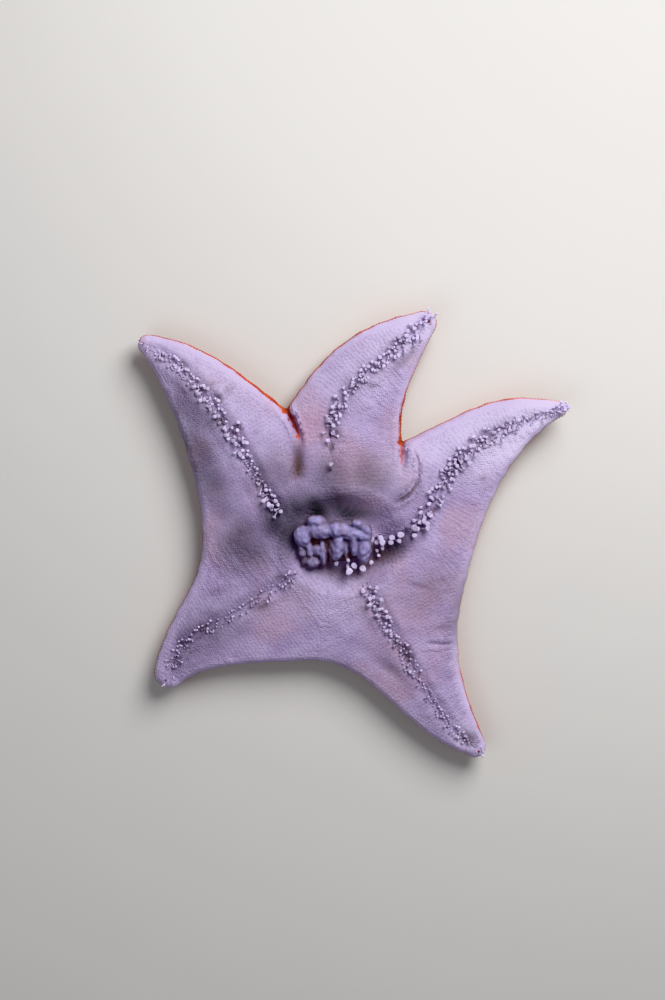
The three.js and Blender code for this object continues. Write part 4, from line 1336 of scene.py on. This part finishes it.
def makeTips():
    for arm in arms:
        count, size, splay = tipFeet[arm["name"]]
        outward = polar(1, arm["tipBearing"])
        reach = rng.uniform(-0.3, 0.9, count) * arm["tipRadius"]
        plan = arm["tip"] + outward * (reach + 1j * rng.uniform(-0.1, 0.45, count) * arm["tipRadius"])
        places, normals, _ = surfaceAt(plan, "oral")
        spread = outward * np.exp(1j * rng.uniform(-0.5, 1.5, count))
        spread = spread * splay * rng.uniform(0.2, 1.1, count)
        normals = normals * 0.8 + np.c_[spread.real, spread.imag, np.full(count, 0.25)]
        normals /= np.linalg.norm(normals, axis=1, keepdims=True)
        solids = [bentSolid(tipFeet["profile"], 8, bend) for bend in (-0.1, 0.0, 0.14)]
        flat = np.c_[spread.imag, -spread.real, np.zeros(count)]
        points, faces, tall, _, bake = setMany(
            solids, places - normals * 0.4, framesFor(normals, flat), size * rng.uniform(0.7, 1.2, count),
            rng.integers(0, 3, count), unwrapAt(plan, "oral"))
        piece = makePiece("tipFeet_" + arm["name"], points, faces, {
            "tone": np.full(len(points), 1.0), "tall": np.clip(tall + 0.6, 0, 1),
        }, bake)
        piece.data.materials.append(footMaterial)
        node = "eyespot_" + arm["name"]
        low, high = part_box(node)
        middle = np.array([(a + b) / 2 / mm for a, b in zip(low, high)]) - mouthAt
        spots = []
        for i in range(eyespot["cups"]):
            cup, cupFaces, cupTall = latheSolid(eyespot["cup"], 10)
            turn, off = i * 2.4, eyespot["spread"] * np.sqrt(i / eyespot["cups"])
            at = [off * np.cos(turn), off * np.sin(turn), 0.35 - 0.5 * off]
            spots.append((cup * eyespot["cupSize"] + at, cupFaces, cupTall))
        cushion, cushionFaces, _ = joinSolids(spots)
        cushion = cushion * eyespot["size"] + middle - [0, 0, eyespot["sink"]]
        piece = makePiece("eyespotCushion_" + arm["name"], cushion, cushionFaces)
        piece.data.materials.append(eyespotMaterial)
        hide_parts(node)


eyespotMaterial = eyespotFinish()
makeTips()
sieve = bpy.data.objects["madreporite"].data
sieve.materials.clear()
sieve.materials.append(sieveFinish())
print("tips finished")

# Camera: down on the mouth side, leaning a little to the far side, as close as the framing needs.
view = {"aim": (-1.1, 12.1, 8.0), "leanY": 12.0, "leanX": 3.0, "distance": 660.0, "fieldHeight": 280.0}


def makeCamera():
    data = bpy.data.cameras.new("camera")
    data.sensor_fit = "VERTICAL"
    data.sensor_height = 36
    data.lens = view["distance"] * data.sensor_height / view["fieldHeight"]
    data.clip_start = 0.01
    camera = bpy.data.objects.new("camera", data)
    bpy.context.scene.collection.objects.link(camera)
    leanX, leanY = np.radians(view["leanX"]), np.radians(view["leanY"])
    back = np.array([np.sin(leanX), np.sin(leanY) * np.cos(leanX), np.cos(leanY) * np.cos(leanX)])
    aim = (np.array(view["aim"]) + mouthAt) * mm
    right = np.cross([0, 1, 0], back)
    right /= np.linalg.norm(right)
    turned = Matrix(np.stack([right, np.cross(back, right), back], axis=1).tolist())
    camera.matrix_world = Matrix.Translation(Vector(aim + back * view["distance"] * mm)) @ turned.to_4x4()
    bpy.context.scene.camera = camera


sky = {"colour": (0.92, 0.94, 1.0, 1), "strength": 0.2}
lamps = {
    "key": {"at": (185, 325, 315), "size": 300, "power": 3.0, "colour": (1.0, 0.98, 0.97)},
    "fill": {"at": (-260, -160, 620), "size": 520, "power": 0.7, "colour": (0.95, 0.96, 1.0)},
}


def makeLights():
    for name, lamp in lamps.items():
        data = bpy.data.lights.new(name, "AREA")
        data.shape = "DISK"
        data.size = lamp["size"] * mm
        data.energy = lamp["power"]
        data.color = lamp["colour"]
        light = bpy.data.objects.new(name, data)
        bpy.context.scene.collection.objects.link(light)
        light.location = Vector(lamp["at"]) * mm
        light.rotation_euler = light.location.to_track_quat("Z", "Y").to_euler()
    world = bpy.data.worlds.new("studio")
    world.use_nodes = True
    world.node_tree.nodes["Background"].inputs["Color"].default_value = sky["colour"]
    world.node_tree.nodes["Background"].inputs["Strength"].default_value = sky["strength"]
    bpy.context.scene.world = world
    bpy.context.scene.view_settings.view_transform = "Khronos PBR Neutral"


def makeFloor():
    mesh = bpy.data.meshes.new("floor")
    half = 3.0
    corners = [(-half, -half, 0), (half, -half, 0), (half, half, 0), (-half, half, 0)]
    mesh.from_pydata(corners, [], [(0, 1, 2, 3)])
    floor = bpy.data.objects.new("floor", mesh)
    bpy.context.scene.collection.objects.link(floor)
    mesh.materials.append(floorFinish())


makeCamera()
makeLights()
makeFloor()
print("stage set")
